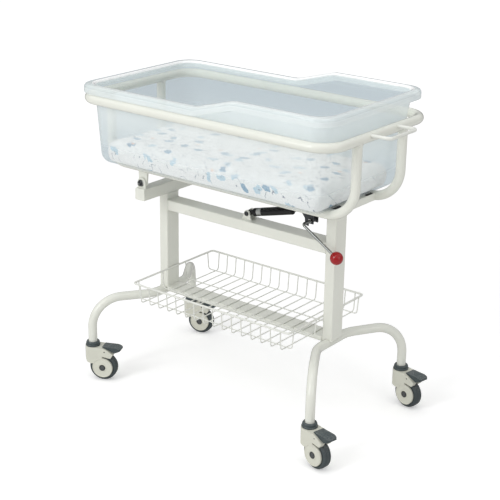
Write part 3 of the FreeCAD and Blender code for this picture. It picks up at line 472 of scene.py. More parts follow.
def scattered_motif_group():
    """One small printed shape, turned at random and scattered over the cloth; Share is how many places hold one."""
    group, given, out = new_group(
        "scattered_motif",
        [("Scale", "value", 12.0), ("Shift", "vector", (0, 0, 0)), ("Share", "value", 0.5),
         ("Long", "value", 0.012), ("Short", "value", 0.006), ("Waver", "value", 0.002), ("Block", "value", 0.0)],
        [("Mask", "value"), ("Ink", "value")],
    )
    space = object_space(group)
    axes = add_node(group, "ShaderNodeSeparateXYZ")
    group.links.new(space, axes.inputs[0])
    cloth = add_node(group, "ShaderNodeCombineXYZ")
    lean = math_node(group, "MULTIPLY", axes.outputs["Z"], 0.4)
    group.links.new(math_node(group, "ADD", axes.outputs["X"], lean), cloth.inputs["X"])
    group.links.new(math_node(group, "ADD", axes.outputs["Y"], axes.outputs["Z"]), cloth.inputs["Y"])
    wobble = add_node(group, "ShaderNodeTexNoise", {"Scale": 70.0, "Detail": 1.0}, noise_dimensions="2D")
    group.links.new(cloth.outputs[0], wobble.inputs["Vector"])
    centred = add_node(group, "ShaderNodeVectorMath", {1: (0.5, 0.5, 0.5)}, operation="SUBTRACT")
    group.links.new(wobble.outputs["Color"], centred.inputs[0])
    waver = add_node(group, "ShaderNodeVectorMath", operation="SCALE")
    group.links.new(centred.outputs[0], waver.inputs[0])
    group.links.new(math_node(group, "MULTIPLY", given["Waver"], 4.0), waver.inputs["Scale"])
    moved = add_node(group, "ShaderNodeVectorMath", operation="ADD")
    group.links.new(cloth.outputs[0], moved.inputs[0])
    group.links.new(waver.outputs[0], moved.inputs[1])
    place = add_node(group, "ShaderNodeVectorMath", operation="ADD")
    group.links.new(moved.outputs[0], place.inputs[0])
    group.links.new(given["Shift"], place.inputs[1])
    cells = add_node(group, "ShaderNodeTexVoronoi", {"Randomness": 0.75}, voronoi_dimensions="2D")
    group.links.new(place.outputs[0], cells.inputs["Vector"])
    group.links.new(given["Scale"], cells.inputs["Scale"])
    away = add_node(group, "ShaderNodeVectorMath", operation="SUBTRACT")
    group.links.new(place.outputs[0], away.inputs[0])
    group.links.new(cells.outputs["Position"], away.inputs[1])
    random = add_node(group, "ShaderNodeSeparateColor")
    group.links.new(cells.outputs["Color"], random.inputs[0])
    turn = add_node(group, "ShaderNodeVectorRotate", {"Axis": (0.0, 0.0, 1.0)}, rotation_type="AXIS_ANGLE")
    group.links.new(away.outputs[0], turn.inputs["Vector"])
    group.links.new(math_node(group, "MULTIPLY", random.outputs[1], 6.283), turn.inputs["Angle"])
    parts = add_node(group, "ShaderNodeSeparateXYZ")
    group.links.new(turn.outputs[0], parts.inputs[0])
    long = math_node(group, "ABSOLUTE", math_node(group, "DIVIDE", parts.outputs["X"], given["Long"]))
    short = math_node(group, "ABSOLUTE", math_node(group, "DIVIDE", parts.outputs["Y"], given["Short"]))
    round_edge = math_node(group, "ADD", math_node(group, "MULTIPLY", long, long),
                           math_node(group, "MULTIPLY", short, short))
    block_edge = math_node(group, "MAXIMUM", long, short)
    edge = add_node(group, "ShaderNodeMix", data_type="FLOAT")
    for key, value in ((0, given["Block"]), (2, round_edge), (3, block_edge)):
        group.links.new(value, edge.inputs[key])
    inside = fade(group, edge.outputs[0], 1.12, 0.9)
    chosen = math_node(group, "LESS_THAN", random.outputs[0], given["Share"])
    mask = math_node(group, "MULTIPLY", inside, chosen)
    group.links.new(mask, out["Mask"])
    ink = fade(group, noise_at(group, space, 420.0, 2.0), 0.25, 0.6, 0.6, 1.0)
    group.links.new(math_node(group, "MULTIPLY", mask, ink), out["Ink"])
    return group


def group_in(tree, name, **values):
    made = add_node(tree, "ShaderNodeGroup", node_tree=bpy.data.node_groups[name])
    for key, value in values.items():
        if isinstance(value, bpy.types.NodeSocket):
            tree.links.new(value, made.inputs[key])
        else:
            made.inputs[key].default_value = value
    return made.outputs


def new_material(name, **sockets):
    """Material with a Principled shader whose constant sockets are set from the keywords."""
    material = bpy.data.materials.new(name)
    material.use_nodes = True
    tree = material.node_tree
    shader = tree.nodes["Principled BSDF"]
    for key, value in sockets.items():
        shader.inputs[key.replace("_", " ").title().replace("Ior", "IOR")].default_value = value
    return material, tree, shader


def add_bump(tree, shader, height, strength, distance, before=None):
    bump = add_node(tree, "ShaderNodeBump", {"Strength": strength, "Distance": distance})
    tree.links.new(height, bump.inputs["Height"])
    if before is not None:
        tree.links.new(before, bump.inputs["Normal"])
    tree.links.new(bump.outputs[0], shader.inputs["Normal"])
    return bump.outputs[0]


def skinned(name, tint, roughness, drift=0.05, spread=0.1, grain=700.0, strength=0.12, distance=0.0002,
            scuffs=0.0, scuff_tint=(0.9, 0.9, 0.9, 1), dust=0.0, painted_edge_shade=0.7, **sockets):
    """Coated or moulded surface: drift of tone, fine skin, scuffs and dust over one colour, with painted
    shade that darkens it towards near-black where the surface turns away from the eye."""
    material, tree, shader = new_material(name, **sockets)
    skin_out = group_in(tree, "surface_skin", Colour=tuple(tint), Drift=drift, Roughness=roughness,
                        Spread=spread, Grain=grain)
    shade = skin_out["Colour"]
    gloss = skin_out["Roughness"]
    if scuffs:
        mask = group_in(tree, "rub_marks", Amount=scuffs)["Mask"]
        shade = mix_colour(tree, mask, shade, scuff_tint)
        gloss = math_node(tree, "ADD", gloss, math_node(tree, "MULTIPLY", mask, 0.3), clamp=True)
    if dust:
        mask = group_in(tree, "settled_dust", Amount=dust)["Mask"]
        shade = mix_colour(tree, mask, shade, (0.72, 0.72, 0.70, 1))
        gloss = math_node(tree, "ADD", gloss, math_node(tree, "MULTIPLY", mask, 0.5), clamp=True)
    # painted shade: the colour is mixed towards near-black where the surface turns away from the eye
    side = fade(tree, add_node(tree, "ShaderNodeLayerWeight", {"Blend": 0.5}).outputs["Facing"], 0.62, 1.0, 0.0, painted_edge_shade)
    tree.links.new(mix_colour(tree, side, shade, (0.10, 0.10, 0.08, 1)), shader.inputs["Base Color"])
    tree.links.new(gloss, shader.inputs["Roughness"])
    add_bump(tree, shader, skin_out["Height"], strength, distance)
    return material


def brushed(name, tint, roughness, stretch):
    """Bare or plated steel with fine draw lines."""
    material, tree, shader = new_material(name, metallic=1.0)
    mapping = add_node(tree, "ShaderNodeMapping", {"Scale": stretch})
    tree.links.new(object_space(tree), mapping.inputs["Vector"])
    lines = noise_at(tree, mapping.outputs["Vector"], 120.0, 4.0, 0.7)
    skin_out = group_in(tree, "surface_skin", Colour=tuple(tint), Drift=0.12, Roughness=roughness, Spread=0.16)
    drawn = mix_colour(tree, math_node(tree, "MULTIPLY", lines, 0.35), skin_out["Colour"],
                       tuple(0.6 * c for c in tint[:3]) + (1,))
    # painted shade: the drawn colour darkens to a sixth of its tint where the surface turns away from the eye
    side = fade(tree, add_node(tree, "ShaderNodeLayerWeight", {"Blend": 0.5}).outputs["Facing"], 0.25, 0.75)
    tree.links.new(mix_colour(tree, side, drawn, tuple(0.16 * c for c in tint[:3]) + (1,)), shader.inputs["Base Color"])
    tree.links.new(skin_out["Roughness"], shader.inputs["Roughness"])
    add_bump(tree, shader, lines, 0.08, 0.0001)
    return material


def tub_material(name, tint, near, far, low=None):
    """Frosted clear moulding. near and far are how cloudy its own side and its reverse look; where the
    mattress lies against the wall, below CLEAR_TOP, it is as clear as low."""
    material, tree, shader = new_material(name, ior=1.49)
    material.surface_render_method = "BLENDED"
    skin_out = group_in(tree, "surface_skin", Colour=tuple(tint), Drift=0.05, Roughness=0.09, Spread=0.06, Grain=45.0)
    marks = group_in(tree, "rub_marks", Scale=22.0, Amount=0.35)["Mask"]
    # painted shade: where the moulding turns away from the eye its colour darkens to grey-blue
    painted_rim_shade = fade(tree, add_node(tree, "ShaderNodeLayerWeight", {"Blend": 0.5}).outputs["Facing"], 0.74, 1.0)
    rubbed = mix_colour(tree, marks, skin_out["Colour"], (0.9, 0.93, 0.95, 1))
    tree.links.new(mix_colour(tree, painted_rim_shade, rubbed, (0.30, 0.36, 0.39, 1)), shader.inputs["Base Color"])
    reverse = add_node(tree, "ShaderNodeNewGeometry").outputs["Backfacing"]
    upper = math_node(tree, "ADD", near, math_node(tree, "MULTIPLY", reverse, far - near))
    space = object_space(tree)
    if low is None:
        cloudy = upper
    else:
        place = add_node(tree, "ShaderNodeSeparateXYZ")
        tree.links.new(space, place.inputs[0])
        middle = (low + near) / 2
        foggy = fade(tree, place.outputs["Z"], MISTY_FROM, CLOUDY_FROM, middle, upper)
        cloudy = fade(tree, place.outputs["Z"], CLEAR_TOP, MISTY_FROM, low, foggy)
    haze = math_node(tree, "SUBTRACT", noise_at(tree, space, 5.0, 3.0), 0.5)
    base = math_node(tree, "ADD", cloudy, math_node(tree, "MULTIPLY", haze, 0.06))
    # the painted dark rim is also made more opaque where the moulding turns away
    edge = math_node(tree, "MULTIPLY", painted_rim_shade, 0.55)
    shown = math_node(tree, "ADD", math_node(tree, "ADD", base, edge), math_node(tree, "MULTIPLY", marks, 0.2),
                      clamp=True)
    shadow = add_node(tree, "ShaderNodeLightPath").outputs["Is Shadow Ray"]
    light = math_node(tree, "SUBTRACT", 1.0, math_node(tree, "MULTIPLY", shadow, 0.85))
    tree.links.new(math_node(tree, "MULTIPLY", shown, light), shader.inputs["Alpha"])
    tree.links.new(math_node(tree, "ADD", skin_out["Roughness"], math_node(tree, "MULTIPLY", marks, 0.2), clamp=True),
                   shader.inputs["Roughness"])
    add_bump(tree, shader, skin_out["Height"], 0.03, 0.0004)
    return material


def cloth_material(colours):
    """Cotton with a scattered print of leaves, strokes, small marks and dots."""
    material, tree, shader = new_material(
        "printed_cotton", sheen_weight=0.25, sheen_roughness=0.5, specular_ior_level=0.25
    )
    weave = group_in(tree, "cotton_weave")
    ground = mix_colour(tree, fade(tree, weave["Shade"], 0.35, 1.1), tuple(0.93 * c for c in colours.cloth[:3]) + (1,),
                        tuple(colours.cloth))
    layers = [
        (colours.print_pale, dict(Scale=19.0, Shift=(3.1, 0.4, 0), Share=0.42, Long=0.0150, Short=0.0075,
                                  Waver=0.0045, Block=0.7)),
        (colours.print_blue, dict(Scale=15.0, Shift=(0.6, 5.2, 0), Share=0.50, Long=0.0125, Short=0.0090,
                                  Waver=0.0035, Block=0.6)),
        (colours.print_grey, dict(Scale=36.0, Shift=(9.2, 1.8, 0), Share=0.34, Long=0.0090, Short=0.0010,
                                  Waver=0.005)),
        (colours.print_grey, dict(Scale=42.0, Shift=(4.7, 6.1, 0), Share=0.30, Long=0.0060, Short=0.0009,
                                  Waver=0.003)),
        (colours.print_grey, dict(Scale=27.0, Shift=(2.2, 8.1, 0), Share=0.22, Long=0.0026, Short=0.0022,
                                  Waver=0.0)),
        (colours.print_orange, dict(Scale=14.0, Shift=(6.4, 3.3, 0), Share=0.20, Long=0.0055, Short=0.0048,
                                    Waver=0.001)),
    ]
    shade = ground
    for ink, values in layers:
        shade = mix_colour(tree, group_in(tree, "scattered_motif", **values)["Ink"], shade, tuple(ink))
    tree.links.new(shade, shader.inputs["Base Color"])
    rough = fade(tree, weave["Height"], 0.0, 1.0, 0.92, 0.8)
    tree.links.new(rough, shader.inputs["Roughness"])
    creases = noise_at(tree, object_space(tree), 26.0, 4.0, 0.6)
    first = add_bump(tree, shader, creases, 0.25, 0.0012)
    add_bump(tree, shader, weave["Height"], 0.35, 0.0003, first)
    return material


def make_materials(colours):
    """Every finish of the bassinet, by name."""
    surface_skin_group()
    rub_marks_group()
    settled_dust_group()
    cotton_weave_group()
    scattered_motif_group()
    coat = tuple(colours.coat)
    cream = tuple(colours.cream)
    skinned("powder_coat", coat, 0.34, drift=0.035, strength=0.10, scuffs=0.12, scuff_tint=(0.62, 0.62, 0.56, 1),
            dust=0.10, coat_weight=0.6, coat_roughness=0.1)
    skinned("powder_coat_edge", tuple(min(1, 1.06 * c) for c in coat[:3]) + (1,), 0.26, drift=0.05, strength=0.06,
            scuffs=0.3, scuff_tint=(0.55, 0.55, 0.52, 1), coat_weight=0.2, coat_roughness=0.15)
    skinned("wire_coat", tuple(colours.wire), 0.3, drift=0.04, strength=0.05, dust=0.12, coat_weight=0.25,
            coat_roughness=0.15)
    skinned("caster_cream", cream, 0.4, drift=0.06, grain=1400.0, strength=0.16, scuffs=0.3,
            scuff_tint=(0.42, 0.42, 0.38, 1), dust=0.15)
    skinned("caster_cream_edge", tuple(min(1, 1.15 * c) for c in cream[:3]) + (1,), 0.32, scuffs=0.45,
            scuff_tint=(0.4, 0.4, 0.36, 1), strength=0.05)
    slate = tuple(colours.slate)
    skinned("slate_plastic", slate, 0.42, drift=0.12, grain=1500.0, strength=0.2, scuffs=0.5,
            scuff_tint=(0.2, 0.23, 0.25, 1), dust=0.2)
    skinned("slate_plastic_edge", tuple(1.7 * c for c in slate[:3]) + (1,), 0.35, scuffs=0.6,
            scuff_tint=(0.25, 0.28, 0.3, 1), strength=0.05)
    skinned("tyre_rubber", tuple(colours.tyre), 0.62, drift=0.2, spread=0.2, grain=900.0, strength=0.3,
            distance=0.0003, scuffs=0.5, scuff_tint=(0.2, 0.2, 0.2, 1), dust=0.35)
    skinned("hub_cap", (0.022, 0.024, 0.026, 1), 0.4, drift=0.15, grain=1500.0, strength=0.15, dust=0.15)
    skinned("hub_cap_face", (0.075, 0.080, 0.083, 1), 0.45, drift=0.2, grain=1200.0, strength=0.2, dust=0.2)
    skinned("black_rubber", (0.008, 0.008, 0.009, 1), 0.6, drift=0.2, grain=1100.0, strength=0.35, dust=0.1,
            specular_ior_level=0.3)
    skinned("black_enamel", (0.005, 0.005, 0.006, 1), 0.22, drift=0.2, strength=0.05, scuffs=0.12,
            scuff_tint=(0.06, 0.06, 0.07, 1), specular_ior_level=0.3, coat_weight=0.1, coat_roughness=0.08)
    skinned("dark_steel", (0.055, 0.058, 0.062, 1), 0.36, drift=0.25, spread=0.2, strength=0.2, scuffs=0.6,
            scuff_tint=(0.4, 0.4, 0.41, 1), metallic=0.85)
    skinned("dark_steel_edge", (0.22, 0.22, 0.23, 1), 0.3, drift=0.2, spread=0.2, scuffs=0.6,
            scuff_tint=(0.5, 0.5, 0.5, 1), metallic=0.95)
    skinned("red_knob", tuple(colours.knob), 0.14, drift=0.1, strength=0.03, scuffs=0.25,
            scuff_tint=(0.40, 0.05, 0.05, 1), specular_ior_level=0.35, coat_weight=0.2, coat_roughness=0.05)
    skinned("white_washer", (0.74, 0.75, 0.72, 1), 0.4, drift=0.05, strength=0.1, dust=0.1)
    brushed("bright_steel", (0.36, 0.37, 0.365, 1), 0.14, (1, 1, 1))
    brushed("bare_steel", (0.50, 0.51, 0.50, 1), 0.34, (8, 1, 8))
    tub_material("tub_outside", colours.tub, 0.58, 0.12, 0.14)
    # the inside faces of the same moulding are darker: painted shade
    tub_material("tub_inside", colours.tub_inside_painted_shade, 0.13, 0.05, 0.08)
    tub_material("tub_rim", colours.lip, 0.40, 0.20)
    # painted highlight: the inner top of the rim is near-white and nearly opaque
    tub_material("tub_rim_painted_highlight", (0.98, 0.99, 0.99, 1), 0.96, 0.6)
    cloth_material(colours)
    skinned("cotton_piping", tuple(colours.cloth), 0.85, drift=0.04, grain=1800.0, strength=0.4, sheen_weight=0.2)
    skinned("core_grey", (0.32, 0.33, 0.33, 1), 0.5, drift=0.1, grain=1200.0, strength=0.2, dust=0.2)


def finishes(*names):
    """The finished materials of these names, made on first use."""
    if "powder_coat_edge" not in bpy.data.materials:
        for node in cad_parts.values():
            for plain in node.data.materials:
                plain.name = "plain_" + node.name
        make_materials(bpy.context.scene.bassinet_colours)
    return [bpy.data.materials[name] for name in names]


def coated(name, node, body, width, pair=("powder_coat", "powder_coat_edge")):
    """A frame node in coated steel, its edges rounded."""
    return add_piece(name, from_frame(node, width), finishes(*pair), body, [node], weighted=True)


# ---- stage --------------------------------------------------------------------------------------
CAMERA_AT = (1.91911, -2.49582, 1.59711)
CAMERA_AZIMUTH = 37.8596
CAMERA_ELEVATION = 20.3555
CAMERA_ROLL = 0.8904
CAMERA_LENS = 1239.219 / 500 * 36
FLOOR_LIFT_NEAR = 0.27
FLOOR_LIFT_FAR = 0.46
BOUNCE_TONE = (0.80, 0.80, 0.79, 1)  # floor as a source of light from below
HAZE_TONE = (0.77, 0.86, 0.91, 1)   # what the studio looks like through frosted plastic


def camera_matrix():
    azimuth = math.radians(CAMERA_AZIMUTH)
    elevation = math.radians(CAMERA_ELEVATION)
    roll = math.radians(CAMERA_ROLL)
    forward = Vector((-math.sin(azimuth) * math.cos(elevation), math.cos(azimuth) * math.cos(elevation),
                      -math.sin(elevation)))
    right = Vector((math.cos(azimuth), math.sin(azimuth), 0))
    up = right.cross(forward)
    x = right * math.cos(roll) + up * math.sin(roll)
    y = up * math.cos(roll) - right * math.sin(roll)
    turn = Matrix((x, y, -forward)).transposed().to_4x4()
    return Matrix.Translation(CAMERA_AT) @ turn


def soft_box(name, at, aim, width, height, level):
    """Area lamp whose light on a white face that looks at it is level at its distance."""
    data = bpy.data.lights.new(name, "AREA")
    data.shape = "RECTANGLE"
    data.size = width
    data.size_y = height
    reach = Vector(aim) - Vector(at)
    data.energy = level * math.pi ** 2 * reach.length_squared
    lamp = bpy.data.objects.new(name, data)
    lamp.location = at
    lamp.rotation_mode = "QUATERNION"
    lamp.rotation_quaternion = reach.to_track_quat("-Z", "Y")
    bpy.context.scene.collection.objects.link(lamp)


class BASSINET_OT_stage(bpy.types.Operator):
    """Pale floor, even studio light and the camera"""
    bl_idname = "bassinet.stage"
    bl_label = "Stage"

    def execute(self, context):
        scene = context.scene
        scene.view_settings.view_transform = "Standard"
        bm = bmesh.new()
        bmesh.ops.create_grid(bm, x_segments=8, y_segments=8, size=30)
        mesh = bpy.data.meshes.new("studio_floor")
        bm.to_mesh(mesh)
        bm.free()
        floor = bpy.data.objects.new("studio_floor", mesh)
        floor.location.z = -0.0005
        scene.collection.objects.link(floor)
        mesh.materials.append(self.floor_material())
        self.light_world(scene)
        soft_box("key_light", (-1.0, -3.7, 2.1), (0, 0, 0.5), 2.2, 2.2, 0.25)
        soft_box("top_light", (0.2, -0.4, 3.4), (0, 0, 0.5), 2.6, 2.0, 0.22)
        soft_box("strip_light", (-0.7, -3.4, 3.0), (0, 0, 0.5), 0.35, 1.6, 0.10)
        soft_box("head_light", (3.6, -0.6, 1.6), (0, 0, 0.5), 1.8, 1.8, 0.10)
        camera = bpy.data.objects.new("camera", bpy.data.cameras.new("camera"))
        camera.data.sensor_width = 36
        camera.data.lens = CAMERA_LENS
        camera.matrix_world = camera_matrix()
        scene.collection.objects.link(camera)
        scene.camera = camera
        return {"FINISHED"}

    def seen_through(self, tree):
        """1 where the eye looks through the tub's frosted wall."""
        path = add_node(tree, "ShaderNodeLightPath")
        layers = math_node(tree, "MINIMUM", path.outputs["Transparent Depth"], 1.0)
        return math_node(tree, "MULTIPLY", layers, path.outputs["Is Camera Ray"])

    def seen_directly(self, tree, *kinds):
        """1 for a ray of these kinds that hasn't come through the tub."""
        path = add_node(tree, "ShaderNodeLightPath")
        seen = path.outputs[kinds[0]]
        for kind in kinds[1:]:
            seen = math_node(tree, "MAXIMUM", seen, path.outputs[kind])
        return math_node(tree, "MULTIPLY", seen, math_node(tree, "SUBTRACT", 1.0, self.seen_through(tree)))

    def floor_material(self):
        """Matt floor that keeps the shadow and comes up to white where it is seen, near and far."""
        material, tree, shader = new_material("studio_floor", roughness=0.9, specular_ior_level=0.1)
        space = object_space(tree)
        tone = mix_colour(tree, fade(tree, noise_at(tree, space, 1.5), 0.3, 0.7),
                          (0.95, 0.95, 0.95, 1), (0.97, 0.97, 0.97, 1))
        seen_tone = mix_colour(tree, self.seen_through(tree), tone, HAZE_TONE)
        eye = add_node(tree, "ShaderNodeLightPath").outputs["Is Camera Ray"]
        tree.links.new(mix_colour(tree, eye, BOUNCE_TONE, seen_tone), shader.inputs["Base Color"])
        away = add_node(tree, "ShaderNodeVectorMath", operation="LENGTH")
        tree.links.new(space, away.inputs[0])
        lift = fade(tree, away.outputs["Value"], 0.5, 4.5, FLOOR_LIFT_NEAR, FLOOR_LIFT_FAR)
        shader.inputs["Emission Color"].default_value = (1, 1, 1, 1)
        seen = self.seen_directly(tree, "Is Camera Ray", "Is Transmission Ray")
        tree.links.new(math_node(tree, "MULTIPLY", lift, seen), shader.inputs["Emission Strength"])
        return material

    def light_world(self, scene):
        """White to the eye, softer as a light, and darker towards the horizon in reflections."""
        world = bpy.data.worlds.new("studio")
        scene.world = world
        world.use_nodes = True
        tree = world.node_tree
        seen = self.seen_directly(tree, "Is Camera Ray", "Is Glossy Ray", "Is Transmission Ray")
        axes = add_node(tree, "ShaderNodeSeparateXYZ")
        tree.links.new(add_node(tree, "ShaderNodeTexCoord").outputs["Generated"], axes.inputs[0])
        glossy = self.seen_directly(tree, "Is Glossy Ray")
        dim = math_node(tree, "MULTIPLY", glossy, fade(tree, axes.outputs["Z"], 0.0, 0.75, 0.75, 0.0))
        white = math_node(tree, "ADD", 0.59, math_node(tree, "MULTIPLY", seen, 0.41))
        strength = math_node(tree, "SUBTRACT", white, dim)
        background = tree.nodes["Background"]
        haze = mix_colour(tree, self.seen_through(tree), (1, 1, 1, 1), HAZE_TONE)
        tree.links.new(haze, background.inputs["Color"])
        tree.links.new(strength, background.inputs["Strength"])


# ---- base ---------------------------------------------------------------------------------------
def leg_path(post_x, stem_x, level):
    points = [
        (stem_x, -STEM_Y, LEG_END), (stem_x, -STEM_Y, level), (post_x, -LEG_PLAN_Y, level),
        (post_x, LEG_PLAN_Y, level), (stem_x, STEM_Y, level), (stem_x, STEM_Y, LEG_END),
    ]
    return bent_path(points, [85, 90, 90, 85], 18)


def rect_bead(bm, centre, a, b, half_a, half_b, radius):
    """Weld round a rectangular joint in the plane of unit vectors a and b."""
    corners = [Vector(centre) + Vector(a) * i * half_a + Vector(b) * j * half_b
               for i, j in ((-1, -1), (1, -1), (1, 1), (-1, 1))]
    bead(bm, loop_path(corners, 2.5, 4), radius)


def saddle_bead(bm, x, leg_z, radius):
    """Weld where a post's coped end sits on the leg."""
    points = []
    for px, py, pz in loop_path(rectangle(x - 15, x + 15, -25, 25, 0), 3, 4):
        across = min(abs(px - x), 12.4)
        points.append(Vector((px, py, max(leg_z + 8, leg_z + math.sqrt(12.5 ** 2 - across ** 2)))))
    bead(bm, filled(points + points[:1], 4)[:-1], radius)


class BASSINET_OT_base(bpy.types.Operator):
    """Legs, posts, rails and crossbeam of the wheeled base, with their welds"""
    bl_idname = "bassinet.base"
    bl_label = "Base frame"

    def execute(self, context):
        sizes = context.scene.bassinet_sizes
        tube = sizes.tube_radius * 1000
        weld = sizes.weld_radius * 1000
        soft = sizes.edge_round * 1000
        for name, post_x, stem_x, level in (
            ("head_leg", POST_X, HEAD_STEM_X, HEAD_LEG_Z), ("foot_leg", -POST_X, FOOT_STEM_X, FOOT_LEG_Z),
        ):
            bm = bmesh.new()
            sweep(bm, leg_path(post_x, stem_x, level), tube, 32)
            add_piece(name + "_tube", bm, finishes("powder_coat"), "base", [name])
        for node in ("foot_post", "head_post", "upper_rail", "lower_stretcher", "foot_crossbeam",
                     "crossbeam_end_plates", "base_hinge_lugs", "spring_base_lugs"):
            coated(node + "_coated", node, "base", soft)
        bm = bmesh.new()
        saddle_bead(bm, POST_X, HEAD_LEG_Z, weld)
        saddle_bead(bm, -POST_X, FOOT_LEG_Z, weld)
        for side in (-1, 1):
            rect_bead(bm, (side * 271, 0, 499.25), (0, 1, 0), (0, 0, 1), 24.5, 14.8, weld)
            rect_bead(bm, (side * 271, 0, 246), (0, 1, 0), (0, 0, 1), 24.5, 7, weld * 0.8)
            rect_bead(bm, (HINGE_X, side * 109, 566.5), (1, 0, 0), (0, 1, 0), 14.5, 3.2, weld * 0.8)
            rect_bead(bm, (3.6, side * 11, 514.5), (1, 0, 0), (0, 1, 0), 15, 2.2, weld * 0.7)
        rect_bead(bm, (-POST_X, 0, 532.5), (1, 0, 0), (0, 1, 0), 14.8, 24.8, weld)
        add_piece("base_welds", bm, finishes("powder_coat"), "base", sharp=60)
        # black strip on the base where the cradle's head end rests
        pad = from_frame("head_rest_pad", 1.2, 3)
        add_piece("head_rest_black_strip", pad, finishes("black_rubber", "black_rubber"), "base",
                  ["head_rest_pad"], weighted=True)
        return {"FINISHED"}


class BASSINET_OT_hinge(bpy.types.Operator):
    """Bolts of the tilt hinge"""
    bl_idname = "bassinet.hinge"
    bl_label = "Hinge bolts"

    def execute(self, context):
        bm = from_frame("hinge_bolts", 0.7, 2)
        for face in bm.faces:
            middle = face.calc_center_median()
            reach = math.hypot(middle.x - HINGE_X, middle.z - HINGE_Z)
            if 111.9 < abs(middle.y) < 113.7 and reach > 6.5:
                face.material_index = 2
        for side in (-1, 1):
            profile = [(0, 3.2), (2.2, 3.2), (2.8, 2.7), (2.8, 2.2), (3.2, 1.9), (2.8, 1.5), (3.2, 1.1), (2.8, 0.7),
                       (3.2, 0.4), (3.2, -1)]
            stud = turned(bm, profile, along((HINGE_X, side * 119.6, HINGE_Z), (0, side, 0)), 28)
            for face in stud:
                face.material_index = 3
        add_piece("tilt_hinge_bolts", bm,
                  finishes("dark_steel", "dark_steel_edge", "white_washer", "bright_steel"),
                  "base", ["hinge_bolts"], weighted=True)
        return {"FINISHED"}


# ---- basket -------------------------------------------------------------------------------------
BASKET_X = 268.0
BASKET_Y = 171.5
BASKET_Z = 308.5


def hooked_wire(half, low_z, rim):
    """Path of a wire that wraps under the rim, drops, runs along the floor and comes up again."""
    top = BASKET_Z - rim + 0.3
    low_half = half - 4
    corners = [(-half, 0, top), (-low_half, 0, low_z), (low_half, 0, low_z), (half, 0, top)]
    return bent_path(corners, [9, 9], 8)


class BASSINET_OT_basket(bpy.types.Operator):
    """Wire basket: rim, cross wires, long wires and their weld spots"""
    bl_idname = "bassinet.basket"
    bl_label = "Basket"

    def execute(self, context):
        sizes = context.scene.bassinet_sizes
        rim = sizes.rim_wire_radius * 1000
        wire = sizes.wire_radius * 1000
        coat = finishes("wire_coat")
        bm = bmesh.new()
        sweep(bm, loop_path(rectangle(-BASKET_X, BASKET_X, -BASKET_Y, BASKET_Y, BASKET_Z), 9, 10), rim, 20, True)
        add_piece("basket_rim_wire", bm, coat, "base", ["basket_rim"])
        cross_at = [-242 + 484 * i / 15 for i in range(16)]
        long_at = [-149.5 + 299 * i / 3 for i in range(4)]
        bm = bmesh.new()
        cross = hooked_wire(BASKET_Y, 253 + wire, rim)
        for x in cross_at:
            sweep(bm, [Vector((x, p.x, p.z)) for p in cross], wire, 14)
        add_piece("basket_cross_wires_coated", bm, coat, "base", ["basket_cross_wires"])
        bm = bmesh.new()
        lengthways = hooked_wire(BASKET_X, 253 + 3 * wire, rim)
        for y in long_at:
            sweep(bm, [Vector((p.x, y, p.z)) for p in lengthways], wire, 14)
        add_piece("basket_long_wires_coated", bm, coat, "base", ["basket_long_wires"])
        bm = bmesh.new()
        spots = [(x, y, 253 + 2 * wire) for x in cross_at for y in long_at]
        spots += [(x, side * BASKET_Y, BASKET_Z - rim) for x in cross_at for side in (-1, 1)]
        spots += [(side * BASKET_X, y, BASKET_Z - rim) for y in long_at for side in (-1, 1)]
        blob = [(0, -1.7), (1.1, -1.5), (1.9, -0.7), (2.1, 0), (1.9, 0.7), (1.1, 1.5), (0, 1.7)]
        for spot in spots:
            turned(bm, blob, along(spot, (0, 0, 1)), 12)
        add_piece("basket_weld_spots", bm, coat, "base", sharp=80)
        return {"FINISHED"}


# ---- cradle -------------------------------------------------------------------------------------
TEE_REACH = 10.7           # keeps the bead within the tube's own width


def tee_bead(bm, x, side, radius):
    """Weld where an upright tube meets the ring: the curve of two equal tubes."""
    points = []
    for k in range(48):
        a = 2 * math.pi * k / 48
        drop = 12.5 * abs(math.sin(a - math.pi / 2))
        out = max(-TEE_REACH, min(TEE_REACH, 12.6 * math.cos(a)))
        points.append(Vector((x + out, side * U_Y + 12.6 * math.sin(a), RING_Z - drop)))
    bead(bm, points, radius)


